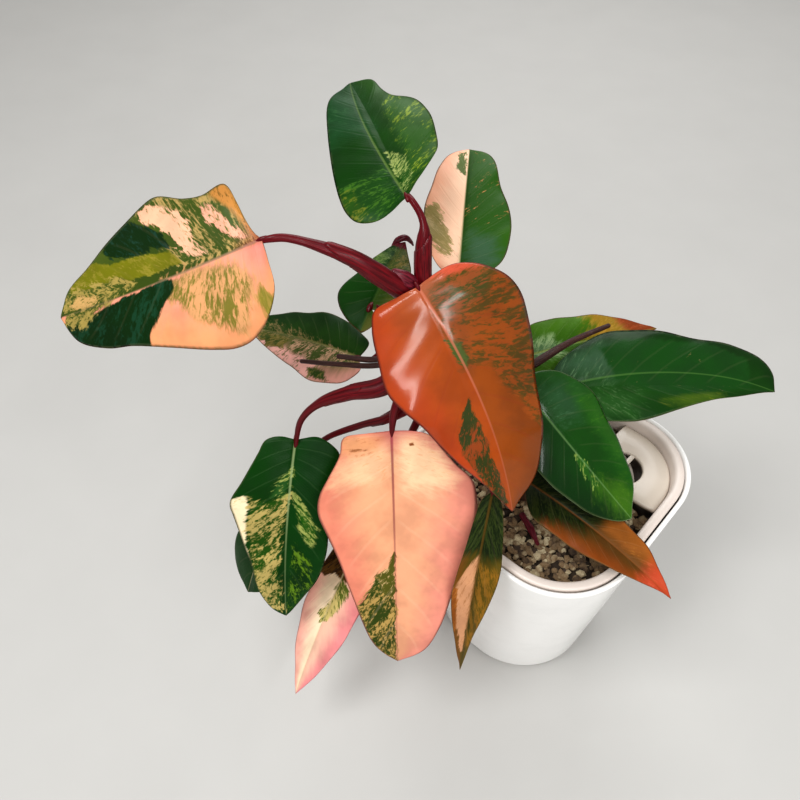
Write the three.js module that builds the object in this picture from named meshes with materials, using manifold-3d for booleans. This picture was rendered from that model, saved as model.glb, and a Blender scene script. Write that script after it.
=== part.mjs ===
// A potted philodendron with large variegated leaves, in a two-piece self-watering planter.
// Millimetres, +Z up. The origin is the middle of the pot's foot, on the surface it stands on.
// +Y points away from the plant's front, where the pink leaf hangs.
import * as THREE from "three";
import { mergeVertices } from "three/addons/utils/BufferGeometryUtils.js";
import Module from "manifold-3d";

const wasm = await Module();
wasm.setup();

// Pot: a rounded square in plan, turned so that one corner points nearly to +X.
const POT_TURN = THREE.MathUtils.degToRad(48.7);
const POT_HEIGHT = 226;
const RIM_SIDE = 210;
const RIM_CORNER = 65;
const FOOT_SIDE = 146;
const FOOT_CORNER = 66;
const FOOT_EDGE = 7;
const POT_WALL = 4;
const POT_FLOOR = 5;
const CORNER_STEPS = 8;

// Liner: sits in the pot's taper on a band round its foot, with a broad rolled rim just inside the pot's.
const CLEAR = 0.3;
const RIM_GAP = 1.2;
const LINER_RIM = 8;
const LINER_WALL = 2.6;
const LINER_FOOT = 42;
const LINER_FLOOR = 4;
const LINER_SEAT = 14;
const LINER_RISE = 0.6;
const LINER_LIP = 2.5;
const RIM_FLANK_TOP = 206;
const RIM_FLANK_FOOT = 196;

// Fill deck: a plate across one corner of the liner, with a round hole for water that a narrow bridge
// crosses. Its edge runs round the hole and out to both walls of the liner. Under the edge, a wall keeps
// the grit out of the shaft below.
const DECK_TOP = 218;
const DECK_PLATE = 4;
const DECK_REACH = 54;
const DECK_CORNER = 111;
const SHAFT_WALL = 3;
const FILL_HOLE_AT = 67;
const FILL_HOLE_RADIUS = 17;
const FILL_HOLE_COLLAR = 13;
const BRIDGE_WIDTH = 4;
const BRIDGE_TURN = THREE.MathUtils.degToRad(47);

// Substrate: grit up to this height, its angular stones raised from the surface by a seeded rule.
const GRIT_TOP = 204;
const STONE_PITCH = 7;
const STONE_RISE = 2.4;
const STONE_SWAY = 0.3;

// Plant.
const BLADE_THICKNESS = 0.9;
const BLADE_STATIONS = 16;
const BLADE_ROWS = 3;
const BLADE_HALF_WIDTH = 0.3;
const STALK_SIDES = 8;
const PETIOLE_TIP = 1.5;
const PETIOLE_UNDER = 7;

const COLOURS = {
  pot: "#f4f2ee",
  liner: "#e6dcd2",
  deck: "#e9ded4",
  grit: "#8c7f6c",
  stem: "#4a3020",
  petiole: "#6d1526",
  stub: "#3a1a16",
  cataphyll: "#7c1a2a",
};

// A seeded draw between 0 and 1, so that the stones fall alike each time.
function seededDraw(seed) {
  let state = seed;
  return () => {
    state = (state * 1664525 + 1013904223) % 4294967296;
    return state / 4294967296;
  };
}

function solidOf(geometry) {
  const bare = geometry.clone();
  bare.deleteAttribute("normal");
  bare.deleteAttribute("uv");
  const merged = mergeVertices(bare, 1e-3);
  return new wasm.Manifold(
    new wasm.Mesh({
      numProp: 3,
      vertProperties: new Float32Array(merged.attributes.position.array),
      triVerts: new Uint32Array(merged.index.array),
    }),
  );
}

function geometryOf(solid) {
  const mesh = solid.getMesh();
  const geometry = new THREE.BufferGeometry();
  const places = new Float32Array(mesh.numVert * 3);
  for (let i = 0; i < mesh.numVert; i++)
    for (let k = 0; k < 3; k++) places[3 * i + k] = mesh.vertProperties[i * mesh.numProp + k];
  geometry.setAttribute("position", new THREE.BufferAttribute(places, 3));
  geometry.setIndex(new THREE.BufferAttribute(new Uint32Array(mesh.triVerts), 1));
  geometry.computeVertexNormals();
  return geometry;
}

function largestBody(solid) {
  return solid.decompose().reduce((best, body) => (body.volume() > best.volume() ? body : best));
}

// Closed rings of equal length, joined one to the next; the first and last are capped with fans.
function loft(rings) {
  const count = rings[0].length;
  const places = [];
  const faces = [];
  rings.forEach((ring) => ring.forEach((p) => places.push(p.x, p.y, p.z)));
  const at = (r, i) => r * count + (i % count);
  for (let r = 0; r < rings.length - 1; r++)
    for (let i = 0; i < count; i++) {
      faces.push(at(r, i), at(r, i + 1), at(r + 1, i + 1));
      faces.push(at(r, i), at(r + 1, i + 1), at(r + 1, i));
    }
  [0, rings.length - 1].forEach((r) => {
    const centre = new THREE.Vector3();
    rings[r].forEach((p) => centre.addScaledVector(p, 1 / count));
    const hub = places.length / 3;
    places.push(centre.x, centre.y, centre.z);
    for (let i = 0; i < count; i++)
      if (r === 0) faces.push(hub, at(r, i + 1), at(r, i));
      else faces.push(hub, at(r, i), at(r, i + 1));
  });
  const geometry = new THREE.BufferGeometry();
  geometry.setAttribute("position", new THREE.Float32BufferAttribute(places, 3));
  geometry.setIndex(faces);
  geometry.computeVertexNormals();
  return geometry;
}

// One level ring of the pot's rounded-square plan.
function planRing(side, corner, z) {
  const reach = side / 2 - corner;
  const ring = [];
  for (let quarter = 0; quarter < 4; quarter++)
    for (let step = 0; step < CORNER_STEPS; step++) {
      const angle = (quarter + step / (CORNER_STEPS - 1)) * (Math.PI / 2);
      const sx = quarter === 0 || quarter === 3 ? 1 : -1;
      const sy = quarter < 2 ? 1 : -1;
      const p = new THREE.Vector3(
        sx * reach + corner * Math.cos(angle),
        sy * reach + corner * Math.sin(angle),
        z,
      );
      ring.push(p.applyAxisAngle(new THREE.Vector3(0, 0, 1), POT_TURN));
    }
  return ring;
}

// The pot's plan at height z, drawn in by inset all round.
function potRing(z, inset) {
  const share = z / POT_HEIGHT;
  const side = THREE.MathUtils.lerp(FOOT_SIDE, RIM_SIDE, share) - 2 * inset;
  const corner = THREE.MathUtils.lerp(FOOT_CORNER, RIM_CORNER, share) - inset;
  return planRing(side, Math.min(corner, side / 2 - 1), z);
}

// Rings of a profile that turns in at a rounded lip: [height, inset] pairs.
function potRings(profile) {
  return profile.map(([z, inset]) => potRing(z, inset));
}

function outerPot() {
  const lip = POT_WALL / 2;
  return loft(
    potRings([
      [0, FOOT_EDGE],
      [FOOT_EDGE * 0.3, FOOT_EDGE * 0.3],
      [FOOT_EDGE, 0],
      [POT_HEIGHT * 0.55, 0],
      [POT_HEIGHT - lip, 0],
      [POT_HEIGHT - lip * 0.3, lip * 0.3],
      [POT_HEIGHT, lip],
      [POT_HEIGHT - lip * 0.3, POT_WALL - lip * 0.3],
      [POT_HEIGHT - lip, POT_WALL],
      [POT_HEIGHT * 0.55, POT_WALL],
      [POT_FLOOR, POT_WALL],
    ]),
  );
}

const LINER_OUT = POT_WALL + RIM_GAP;
const LINER_IN = LINER_OUT + LINER_RIM;

// The inside of the liner, from its floor up to the foot of its broad rim: [height, inset] pairs.
const LINER_INSIDE = [
  [LINER_FOOT + LINER_FLOOR, LINER_OUT + LINER_WALL],
  [RIM_FLANK_FOOT, LINER_OUT + LINER_WALL],
  [RIM_FLANK_TOP, LINER_IN],
  [POT_HEIGHT - LINER_LIP, LINER_IN],
];

function liner() {
  const top = POT_HEIGHT + LINER_RISE;
  return loft(
    potRings([
      [LINER_FOOT, LINER_OUT + LINER_FLOOR],
      [LINER_FOOT + LINER_FLOOR, POT_WALL + CLEAR],
      [LINER_FOOT + LINER_SEAT, POT_WALL + CLEAR],
      [LINER_FOOT + LINER_SEAT + LINER_FLOOR, LINER_OUT],
      [top - LINER_LIP, LINER_OUT],
      [top - LINER_LIP * 0.25, LINER_OUT + LINER_LIP * 0.3],
      [top, LINER_OUT + LINER_RIM * 0.4],
      [top - LINER_LIP * 0.4, LINER_IN - LINER_LIP * 0.6],
      ...LINER_INSIDE.toReversed(),
    ]),
  );
}

function cylinder(radius, height, middle, sides = 32) {
  const geometry = new THREE.CylinderGeometry(radius, radius, height, sides);
  geometry.rotateX(Math.PI / 2);
  geometry.translate(middle.x, middle.y, middle.z);
  return solidOf(geometry);
}

// A point on the diagonal from the pot's middle to its +X corner.
function onDiagonal(distance, z) {
  const angle = POT_TURN - Math.PI / 4;
  return new THREE.Vector3(distance * Math.cos(angle), distance * Math.sin(angle), z);
}

// Everything inside the liner's walls, from one height to another, held clear of them by a margin.
function wellBetween(low, high, margin) {
  const inset = (z) => {
    const next = Math.max(1, LINER_INSIDE.findIndex(([height]) => height >= z));
    const [[z0, in0], [z1, in1]] = [LINER_INSIDE[next - 1], LINER_INSIDE[next]];
    return THREE.MathUtils.mapLinear(z, z0, z1, in0, in1) + margin;
  };
  const bends = LINER_INSIDE.map(([z]) => z).filter((z) => z > low && z < high);
  return solidOf(loft([low, ...bends, high].map((z) => potRing(z, inset(z)))));
}

// Upright through the deck's plan, grown or shrunk all round.
function deckPlan(growth) {
  const height = 3 * POT_HEIGHT;
  const collar = FILL_HOLE_RADIUS + FILL_HOLE_COLLAR + growth;
  return cylinder(DECK_REACH + growth, height, onDiagonal(DECK_CORNER, 0), 48).add(
    cylinder(collar, height, onDiagonal(FILL_HOLE_AT, 0), 36),
  );
}

function fillDeck() {
  const middle = onDiagonal(FILL_HOLE_AT, DECK_TOP - DECK_PLATE / 2);
  const plate = wellBetween(DECK_TOP - DECK_PLATE, DECK_TOP, CLEAR).intersect(deckPlan(0));
  const bridge = new THREE.BoxGeometry(2 * FILL_HOLE_RADIUS, BRIDGE_WIDTH, DECK_PLATE / 2);
  bridge.rotateZ(BRIDGE_TURN);
  bridge.translate(middle.x, middle.y, middle.z);
  return plate.subtract(cylinder(FILL_HOLE_RADIUS, 2 * DECK_PLATE, middle, 28)).add(solidOf(bridge));
}

// The wall from the deck's underside to the liner's floor, between the liner's two sides.
function fillShaft() {
  return wellBetween(LINER_FOOT + LINER_FLOOR + CLEAR, DECK_TOP - DECK_PLATE - CLEAR, CLEAR)
    .intersect(deckPlan(0))
    .subtract(deckPlan(-SHAFT_WALL));
}

// A slab whose upper face rises and falls from point to point, as a bed of angular stones does.
function stoneBed(low) {
  const reach = RIM_SIDE * 0.75;
  const cells = Math.ceil((2 * reach) / STONE_PITCH);
  const slab = new THREE.BoxGeometry(2 * reach, 2 * reach, GRIT_TOP - low, cells, cells, 1);
  slab.translate(0, 0, (GRIT_TOP + low) / 2);
  slab.deleteAttribute("normal");
  slab.deleteAttribute("uv");
  const merged = mergeVertices(slab);
  const draw = seededDraw(41);
  const places = merged.attributes.position;
  const sway = [STONE_PITCH * STONE_SWAY, STONE_PITCH * STONE_SWAY, STONE_RISE];
  for (let i = 0; i < places.count; i++) {
    const shift = sway.map((most) => (2 * draw() - 1) * most);
    if (places.getZ(i) < GRIT_TOP - 1) continue;
    places.setXYZ(i, places.getX(i) + shift[0], places.getY(i) + shift[1], GRIT_TOP + shift[2]);
  }
  return solidOf(merged);
}

// The grit fills the liner beside the shaft, with a plain hole for each piece that stands or lies in it.
function substrate(holes) {
  const floor = LINER_FOOT + LINER_FLOOR + CLEAR;
  const bed = wellBetween(floor, DECK_TOP - DECK_PLATE, CLEAR).intersect(stoneBed(floor - 10));
  return largestBody(wasm.Manifold.difference([bed, deckPlan(CLEAR), ...holes]));
}

// A tapering stalk along a smooth curve; radii are spread evenly from its foot to its end.
function stalk(points, radii, { extra = 0, steps = 10, sides = STALK_SIDES } = {}) {
  const curve = new THREE.CatmullRomCurve3(points, false, "centripetal");
  const frames = curve.computeFrenetFrames(steps, false);
  const rings = [];
  for (let s = 0; s <= steps; s++) {
    const share = s / steps;
    const slot = share * (radii.length - 1);
    const low = Math.min(Math.floor(slot), radii.length - 2);
    const radius = THREE.MathUtils.lerp(radii[low], radii[low + 1], slot - low) + extra;
    const middle = curve.getPointAt(share);
    if (s === 0) middle.addScaledVector(frames.tangents[s], -extra);
    if (s === steps) middle.addScaledVector(frames.tangents[s], extra);
    const ring = [];
    for (let i = 0; i < sides; i++) {
      const angle = (i / sides) * 2 * Math.PI;
      ring.push(
        middle
          .clone()
          .addScaledVector(frames.normals[s], radius * Math.cos(angle))
          .addScaledVector(frames.binormals[s], radius * Math.sin(angle)),
      );
    }
    rings.push(ring);
  }
  return solidOf(loft(rings));
}

const vectors = (list) => list.map(([x, y, z]) => new THREE.Vector3(x, y, z));

// Leaves. at and tip are the ends of the midrib; roll turns the blade about it. left and right are the
// blade's two edges in its own plane, from the notch at its base to its tip, as [along the midrib, out from
// it]. arch lifts the middle of the blade, as a share of its length. fold is the slope of the halves beside
// the midrib, camber how far they bend down again towards the edge, and droop lets the tip hang. petiole
// runs from the stem to the blade's base, and its radii are spread evenly from the stem to its tip.
const LEAVES = [
  {
    name: "01_top",
    at: [-117, 15, 477],
    tip: [-156, 134, 490],
    roll: -8,
    form: { arch: 0.05, fold: 0.18, camber: 0.25, droop: 0 },
    left: [[-8, 12], [-10, 24], [-6, 34], [2, 38], [16, 39], [42, 36], [73, 30], [99, 23], [115, 13]],
    right: [[4, 6], [16, 19], [30, 31], [47, 36], [69, 38], [82, 35], [94, 22], [104, 17], [119, 13]],
    petiole: [
      [-106, -12, 427], [-107, -9, 440], [-107, -4, 453], [-106, 0, 463], [-108, 6, 469],
      [-113, 12, 475],
    ],
    radii: [4.7, 4.8, 4.8, 4.7, 4.2, 2.4, 2.2, 2.1],
    colour: "#2f5a1f",
  },
  {
    name: "02_upper_right",
    at: [-82, 18, 413],
    tip: [-69, 135, 438],
    roll: 0,
    form: { arch: 0.03, fold: 0.15, camber: 0.18, droop: 0 },
    left: [[4, 12], [20, 22], [38, 26], [56, 28], [74, 25], [95, 21], [112, 15]],
    right: [[0, 14], [8, 25], [19, 31], [38, 34], [55, 33], [82, 25], [113, 16]],
    petiole: [[-96, -4, 392], [-95, 4, 397], [-92, 11, 402], [-87, 15, 408]],
    radii: [2.8, 2.4, 1.9],
    colour: "#b08a70",
  },
  {
    name: "03_left",
    at: [-204, -13, 466],
    tip: [-348, -7, 397],
    roll: -42,
    form: { arch: 0.05, fold: 0.1, camber: 0.22, droop: 0 },
    left: [
      [-1, 13], [0, 30], [10, 46], [24, 55], [38, 57], [52, 54], [78, 45], [105, 36], [127, 31],
      [148, 20],
    ],
    right: [
      [6, 9], [10, 27], [16, 41], [30, 38], [44, 41], [65, 50], [78, 47], [104, 32], [126, 22],
      [150, 12],
    ],
    petiole: [
      [-104, -8, 410], [-117, -14, 425], [-129, -17, 437], [-147, -16, 451], [-171, -13, 461],
      [-190, -12, 466], [-199, -13, 466],
    ],
    radii: [6.5, 6.5, 6.2, 5.6, 4.8, 4, 2.8, 2.5],
    colour: "#8f8a4a",
  },
  {
    name: "04_back_small",
    at: [-142, 17, 385],
    tip: [-117, 75, 398],
    roll: 0,
    form: { arch: 0.05, fold: 0.15, camber: 0.2, droop: 0 },
    left: [
      [-3, -4], [-8, -7], [-14, -7], [-18, -2], [-16, 6], [-12, 14], [-5, 22], [6, 28], [18, 25],
      [39, 15], [55, 7],
    ],
    right: [[-1, 5], [2, 11], [9, 16], [20, 19], [35, 17], [51, 8]],
    petiole: [[-97, -4, 394], [-110, 5, 396], [-124, 12, 391], [-135, 15, 386]],
    radii: [2.8, 2.3, 1.8],
    colour: "#3f6a25",
  },
  {
    name: "05_back_left",
    at: [-152, 19, 334],
    tip: [-245, 80, 307],
    roll: -15,
    form: { arch: 0.05, fold: 0.1, camber: 0.2, droop: 0 },
    left: [[-7, 9], [-3, 18], [3, 25], [16, 30], [29, 31], [49, 25], [69, 20], [98, 9]],
    right: [[-3, 12], [9, 20], [38, 29], [67, 25], [86, 21], [105, 11]],
    petiole: [[-85, -5, 373], [-96, 3, 375], [-115, 12, 364], [-133, 15, 346], [-144, 16, 334]],
    radii: [3, 2.5, 2.2, 1.8],
    colour: "#6a6a3c",
  },
  {
    name: "06_left_low",
    at: [-198, -33, 300],
    tip: [-212, -106, 167],
    roll: -12,
    form: { arch: 0.07, fold: 0.15, camber: 0.25, droop: 0 },
    left: [[-3, 16], [1, 26], [8, 33], [19, 33], [35, 30], [55, 28], [83, 29], [109, 24], [131, 13]],
    right: [
      [-2, 11], [2, 22], [12, 27], [33, 37], [52, 46], [63, 43], [81, 36], [100, 29], [127, 21],
      [145, 11],
    ],
    petiole: [
      [-93, -8, 390], [-103, -17, 387], [-118, -29, 373], [-133, -36, 361], [-157, -35, 353],
      [-178, -33, 340], [-192, -32, 321],
    ],
    radii: [5.5, 6.2, 6.2, 5.8, 4.6, 2.8, 2.2],
    colour: "#3c5a2a",
  },
  {
    name: "06b_left_hidden",
    at: [-195, -24, 261],
    tip: [-251, -70, 139],
    roll: 0,
    form: { arch: 0.05, fold: 0.1, camber: 0.2, droop: 0 },
    left: [[-1, 21], [10, 34], [38, 42], [71, 40], [110, 27]],
    right: [[4, 14], [14, 19], [42, 31], [74, 36], [93, 33], [109, 32], [128, 28]],
    petiole: [
      [-86, -8, 379], [-95, -14, 370], [-112, -31, 341], [-129, -32, 324], [-150, -25, 307],
      [-177, -20, 286], [-191, -20, 268],
    ],
    radii: [5.4, 5.4, 4.8, 3.2, 2.6, 2.4, 2],
    colour: "#2c5222",
  },
  {
    name: "07_front",
    at: [-127, -47, 327],
    tip: [-123, -133, 143],
    roll: 0,
    form: { arch: 0.05, fold: 0.1, camber: 0.2, droop: 0 },
    left: [
      [0, 14], [4, 27], [15, 36], [28, 46], [42, 58], [60, 61], [79, 59], [108, 51], [137, 43],
      [167, 33], [191, 21],
    ],
    right: [
      [1, 18], [4, 34], [16, 37], [34, 46], [51, 54], [63, 55], [80, 49], [105, 40], [156, 27],
      [184, 17],
    ],
    petiole: [[-90, -8, 386], [-100, -18, 382], [-111, -30, 369], [-123, -40, 349], [-126, -44, 335]],
    radii: [3.6, 3.5, 3.3, 3],
    colour: "#eab08c",
  },
  {
    name: "08_orange",
    at: [-110, -19, 434],
    tip: [-43, -92, 293],
    roll: 22,
    form: { arch: 0.08, fold: 0.1, camber: 0.25, droop: 0 },
    left: [
      [-2, 9], [-3, 26], [3, 41], [10, 50], [20, 58], [35, 62], [56, 59], [80, 51], [108, 43],
      [127, 37], [150, 26],
    ],
    right: [
      [0, 14], [2, 31], [12, 37], [29, 42], [52, 46], [66, 42], [81, 35], [100, 29], [118, 22],
      [140, 12],
    ],
    petiole: [[-93, -13, 397], [-98, -18, 410], [-104, -20, 424]],
    radii: [3.4, 3, 2.4],
    colour: "#c4561c",
  },
  {
    name: "09_back_right",
    at: [-31, 38, 312],
    tip: [90, 77, 309],
    roll: 15,
    form: { arch: 0.05, fold: 0.12, camber: 0.2, droop: 0 },
    left: [[8, 15], [24, 26], [40, 27], [66, 23], [88, 18], [110, 9]],
    right: [[2, 18], [16, 22], [42, 19], [75, 13], [105, 6]],
    petiole: [[-44, -3, 294], [-44, 9, 301], [-39, 25, 308]],
    radii: [3, 2.5, 1.9],
    colour: "#4a5a22",
  },
  {
    name: "10_right",
    at: [-8, 9, 308],
    tip: [161, 0, 319],
    roll: 18,
    form: { arch: 0.05, fold: 0.16, camber: 0.22, droop: 0.03 },
    left: [
      [5, 16], [14, 27], [27, 38], [47, 48], [65, 49], [84, 47], [114, 40], [140, 36], [160, 27],
      [169, 14],
    ],
    right: [[8, 16], [25, 26], [42, 29], [61, 29], [80, 25], [107, 16], [145, 6]],
    petiole: [[-28, -4, 258], [-26, -1, 279], [-20, 5, 297], [-14, 9, 304]],
    radii: [3.2, 2.8, 2.4, 2],
    colour: "#2e6a26",
  },
  {
    name: "11_right_front",
    at: [-31, -19, 337],
    tip: [50, -76, 260],
    roll: 16,
    form: { arch: 0.06, fold: 0.12, camber: 0.25, droop: 0 },
    left: [[-6, 9], [-3, 20], [8, 32], [33, 41], [58, 35], [79, 29], [110, 14]],
    right: [[0, 9], [10, 19], [26, 30], [51, 34], [74, 31], [101, 22], [118, 10]],
    petiole: [[-43, -20, 297], [-43, -24, 312], [-38, -22, 327]],
    radii: [3.2, 2.8, 2.4, 2],
    colour: "#2b5f20",
  },
  {
    name: "12_low_pink",
    at: [-144, -41, 210],
    tip: [-211, -133, 76],
    roll: 0,
    form: { arch: 0.05, fold: 0.12, camber: 0.2, droop: 0 },
    left: [[2, 12], [14, 24], [39, 29], [74, 27], [107, 24], [145, 13]],
    right: [[3, 9], [20, 15], [46, 19], [72, 21], [92, 22], [120, 18], [148, 9]],
    petiole: [
      [-80, -9, 367], [-87, -15, 366], [-100, -28, 343], [-112, -36, 314], [-130, -42, 258],
      [-142, -42, 221],
    ],
    radii: [3.4, 3.2, 2.8, 2.4, 2],
    colour: "#e5a8a0",
  },
  {
    name: "13_hanging",
    at: [-55, -73, 291],
    tip: [-72, -132, 123],
    roll: 0,
    form: { arch: 0.08, fold: 0.3, camber: 0.2, droop: 0 },
    left: [[4, 7], [18, 12], [42, 16], [63, 17], [91, 13], [121, 7]],
    right: [[6, 6], [23, 9], [43, 11], [68, 14], [93, 15], [126, 9]],
    petiole: [[-52, -20, 303], [-53, -38, 307], [-54, -58, 303], [-55, -69, 296]],
    radii: [3, 2.6, 2.2, 1.8],
    colour: "#7c6a30",
  },
  {
    name: "14_low_right",
    at: [-24, -44, 263],
    tip: [75, -126, 232],
    roll: 10,
    form: { arch: 0.07, fold: 0.15, camber: 0.2, droop: 0 },
    left: [[-2, 13], [14, 17], [34, 19], [57, 20], [78, 20], [97, 17], [114, 9]],
    right: [[7, 12], [19, 22], [36, 23], [67, 21], [81, 17], [97, 12], [117, 4]],
    petiole: [[-27, -22, 242], [-27, -31, 252], [-25, -39, 259]],
    radii: [2.8, 2.4, 1.8],
    colour: "#7a4a1c",
  },
];

// Petioles cut short of their blades: from the stem out to a blunt end.
const STUBS = [
  {
    name: "stub_left_low",
    points: [
      [-92, -7, 393], [-101, -15, 389], [-117, -17, 373], [-136, -15, 360], [-165, -9, 355],
      [-193, -3, 352],
    ],
    radii: [2.3, 2.2, 2, 1.8, 1.6],
  },
  {
    name: "stub_left_high",
    points: [[-91, -6, 388], [-102, -9, 387], [-117, -13, 376], [-136, -13, 364], [-166, -6, 360]],
    radii: [2.4, 2.3, 2.1, 1.8],
  },
  {
    name: "stub_right",
    points: [[-52, -1, 320], [-38, 6, 328], [-20, 14, 333], [9, 32, 338], [40, 46, 342]],
    radii: [4, 3.6, 3, 2.2, 1.8],
  },
];

const STEM = {
  points: [
    [-14, -14, 138], [-17, -14, 206], [-36, -13, 272], [-68, -9, 345], [-96, -6, 398],
    [-104, -6, 413],
  ],
  radii: [8, 8.5, 8, 7.5, 6.5, 4],
};

// Dry sheaths: one over the crown and one curled on the grit.
const CATAPHYLLS = [
  {
    name: "cataphyll_crown",
    points: [[-109, -14, 430], [-118, -15, 437], [-127, -14, 442]],
    radii: [3.4, 4, 2.6],
  },
  {
    name: "cataphyll_fallen",
    points: [[-22, -36, 209], [-16, -50, 208], [-11, -66, 207]],
    radii: [2, 2.4, 1],
  },
];

// A blade's own axes: along the midrib, out to its left, and up from its upper face.
function bladeAxes(leaf) {
  const base = new THREE.Vector3(...leaf.at);
  const along = new THREE.Vector3(...leaf.tip).sub(base);
  const length = along.length();
  along.normalize();
  const left = new THREE.Vector3(0, 0, 1).cross(along).normalize();
  left.applyAxisAngle(along, THREE.MathUtils.degToRad(leaf.roll));
  const up = along.clone().cross(left);
  return { base, along, left, up, length };
}

// How far the blade stands off its own plane, at x along the midrib and y out from it.
function bladeHeight(form, length, x, y) {
  const share = THREE.MathUtils.clamp(x / length, -0.5, 1.2);
  const hang = Math.max(0, share - 0.7) / 0.3;
  const arch = form.arch * length * (1 - (2 * share - 1) ** 2);
  const cross = form.fold * Math.abs(y) - (form.camber * y * y) / (BLADE_HALF_WIDTH * length);
  return arch + cross - form.droop * length * hang * hang;
}

// The blade's two faces are the same net of points, half a thickness above and below its middle.
function blade(leaf, extra = 0) {
  const { base, along, left, up, length } = bladeAxes(leaf);
  const edge = (side) =>
    new THREE.CatmullRomCurve3(
      [[0, 0], ...leaf[side], [length, 0]].map(([x, y]) => new THREE.Vector3(x, y, 0)),
      false,
      "centripetal",
    ).getSpacedPoints(BLADE_STATIONS);
  const edges = { left: edge("left"), right: edge("right") };
  const lift = BLADE_THICKNESS / 2 + extra;
  const place = (x, y, face) =>
    base
      .clone()
      .addScaledVector(along, x)
      .addScaledVector(left, y)
      .addScaledVector(up, bladeHeight(leaf.form, length, x, y) + face * lift);
  const places = [];
  const net = [1, -1].map((face) => {
    const rows = [];
    for (let s = 0; s <= BLADE_STATIONS; s++) {
      const row = [];
      const foot = length * (s / BLADE_STATIONS) ** 1.9;
      const pole = s === 0 || s === BLADE_STATIONS;
      for (let k = -BLADE_ROWS; k <= BLADE_ROWS; k++) {
        if (pole && k > -BLADE_ROWS) {
          row.push(row[0]);
          continue;
        }
        const rim = edges[k < 0 ? "left" : "right"][s];
        const out = Math.abs(k) / BLADE_ROWS;
        const x = THREE.MathUtils.lerp(foot, rim.x, out);
        const y = rim.y * out * (k < 0 ? 1 : -1);
        row.push(places.length);
        places.push(place(pole ? rim.x : x, pole ? 0 : y, face));
      }
      rows.push(row);
    }
    return rows;
  });
  const faces = [];
  const add = (a, b, c) => {
    if (a !== b && b !== c && a !== c) faces.push(a, b, c);
  };
  for (let s = 0; s < BLADE_STATIONS; s++)
    for (let j = 0; j < 2 * BLADE_ROWS; j++) {
      const [[a, b], [c, d]] = [net[0][s].slice(j, j + 2), net[0][s + 1].slice(j, j + 2)];
      const [[e, f], [g, h]] = [net[1][s].slice(j, j + 2), net[1][s + 1].slice(j, j + 2)];
      add(a, b, d);
      add(a, d, c);
      add(e, h, f);
      add(e, g, h);
    }
  for (let s = 0; s < BLADE_STATIONS; s++)
    [0, 2 * BLADE_ROWS].forEach((j) => {
      const [a, b] = [net[0][s][j], net[0][s + 1][j]];
      const [c, d] = [net[1][s][j], net[1][s + 1][j]];
      const quad = j === 0 ? [[a, b, d], [a, d, c]] : [[b, a, c], [b, c, d]];
      quad.forEach((t) => add(...t));
    });
  const geometry = new THREE.BufferGeometry();
  geometry.setAttribute(
    "position",
    new THREE.Float32BufferAttribute(places.flatMap((p) => [p.x, p.y, p.z]), 3),
  );
  geometry.setIndex(faces);
  return solidOf(geometry);
}

// A petiole ends under its blade, running a little way below the midrib.
function petiolePoints(leaf) {
  const { base, along, up, length } = bladeAxes(leaf);
  const below = BLADE_THICKNESS / 2 + CLEAR + PETIOLE_TIP;
  const under = base
    .clone()
    .addScaledVector(along, PETIOLE_UNDER)
    .addScaledVector(up, bladeHeight(leaf.form, length, PETIOLE_UNDER, 0) - below);
  return [...vectors(leaf.petiole), under];
}

const plant = new THREE.Group();

function addPiece(name, shape, colour, roughness) {
  const geometry = shape.isBufferGeometry ? shape : geometryOf(shape);
  const material = new THREE.MeshStandardMaterial({ color: colour, roughness, metalness: 0 });
  const mesh = new THREE.Mesh(geometry, material);
  mesh.name = name;
  plant.add(mesh);
}

addPiece("outer_pot", outerPot(), COLOURS.pot, 0.2);
addPiece("liner", liner(), COLOURS.liner, 0.45);
addPiece("fill_deck", fillDeck(), COLOURS.deck, 0.45);
addPiece("fill_shaft", fillShaft(), COLOURS.deck, 0.5);

const stemPath = vectors(STEM.points);
const stemOptions = { steps: 14, sides: 10 };
const stemHole = stalk(stemPath, STEM.radii, { ...stemOptions, extra: CLEAR });
const fallen = CATAPHYLLS.find(({ name }) => name === "cataphyll_fallen");
const fallenBed = stalk(vectors(fallen.points), fallen.radii, { extra: CLEAR });
addPiece("substrate", substrate([stemHole, fallenBed]), COLOURS.grit, 0.9);
addPiece("stem", stalk(stemPath, STEM.radii, stemOptions), COLOURS.stem, 0.7);

// Each stalk is cut clear of the ones before it, so that all meet at the stem without crossing.
const taken = [stemHole];

function addStalk(name, points, radii, colour, blades = []) {
  const clear = wasm.Manifold.union([...taken, ...blades]);
  addPiece(name, largestBody(stalk(points, radii).subtract(clear)), colour, 0.4);
  taken.push(stalk(points, radii, { extra: CLEAR }));
}

for (const leaf of LEAVES) {
  addStalk("petiole_" + leaf.name, petiolePoints(leaf), [...leaf.radii, PETIOLE_TIP], COLOURS.petiole, [
    blade(leaf, CLEAR),
  ]);
  addPiece("blade_" + leaf.name, blade(leaf), leaf.colour, 0.35);
}
for (const { name, points, radii } of STUBS) addStalk(name, vectors(points), radii, COLOURS.stub);
for (const { name, points, radii } of CATAPHYLLS) addStalk(name, vectors(points), radii, COLOURS.cataphyll);

export default plant;
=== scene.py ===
"""The looks of a potted philodendron with large variegated leaves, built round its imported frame.

The plant leans over one side of a two-piece self-watering planter. All lengths in the script's tables are
millimetres in the frame's own axes: +Z is up, and +Y points away from the plant's front.
"""

import math
import random

import bmesh
import bpy
from mathutils import Matrix, Vector, noise


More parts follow.
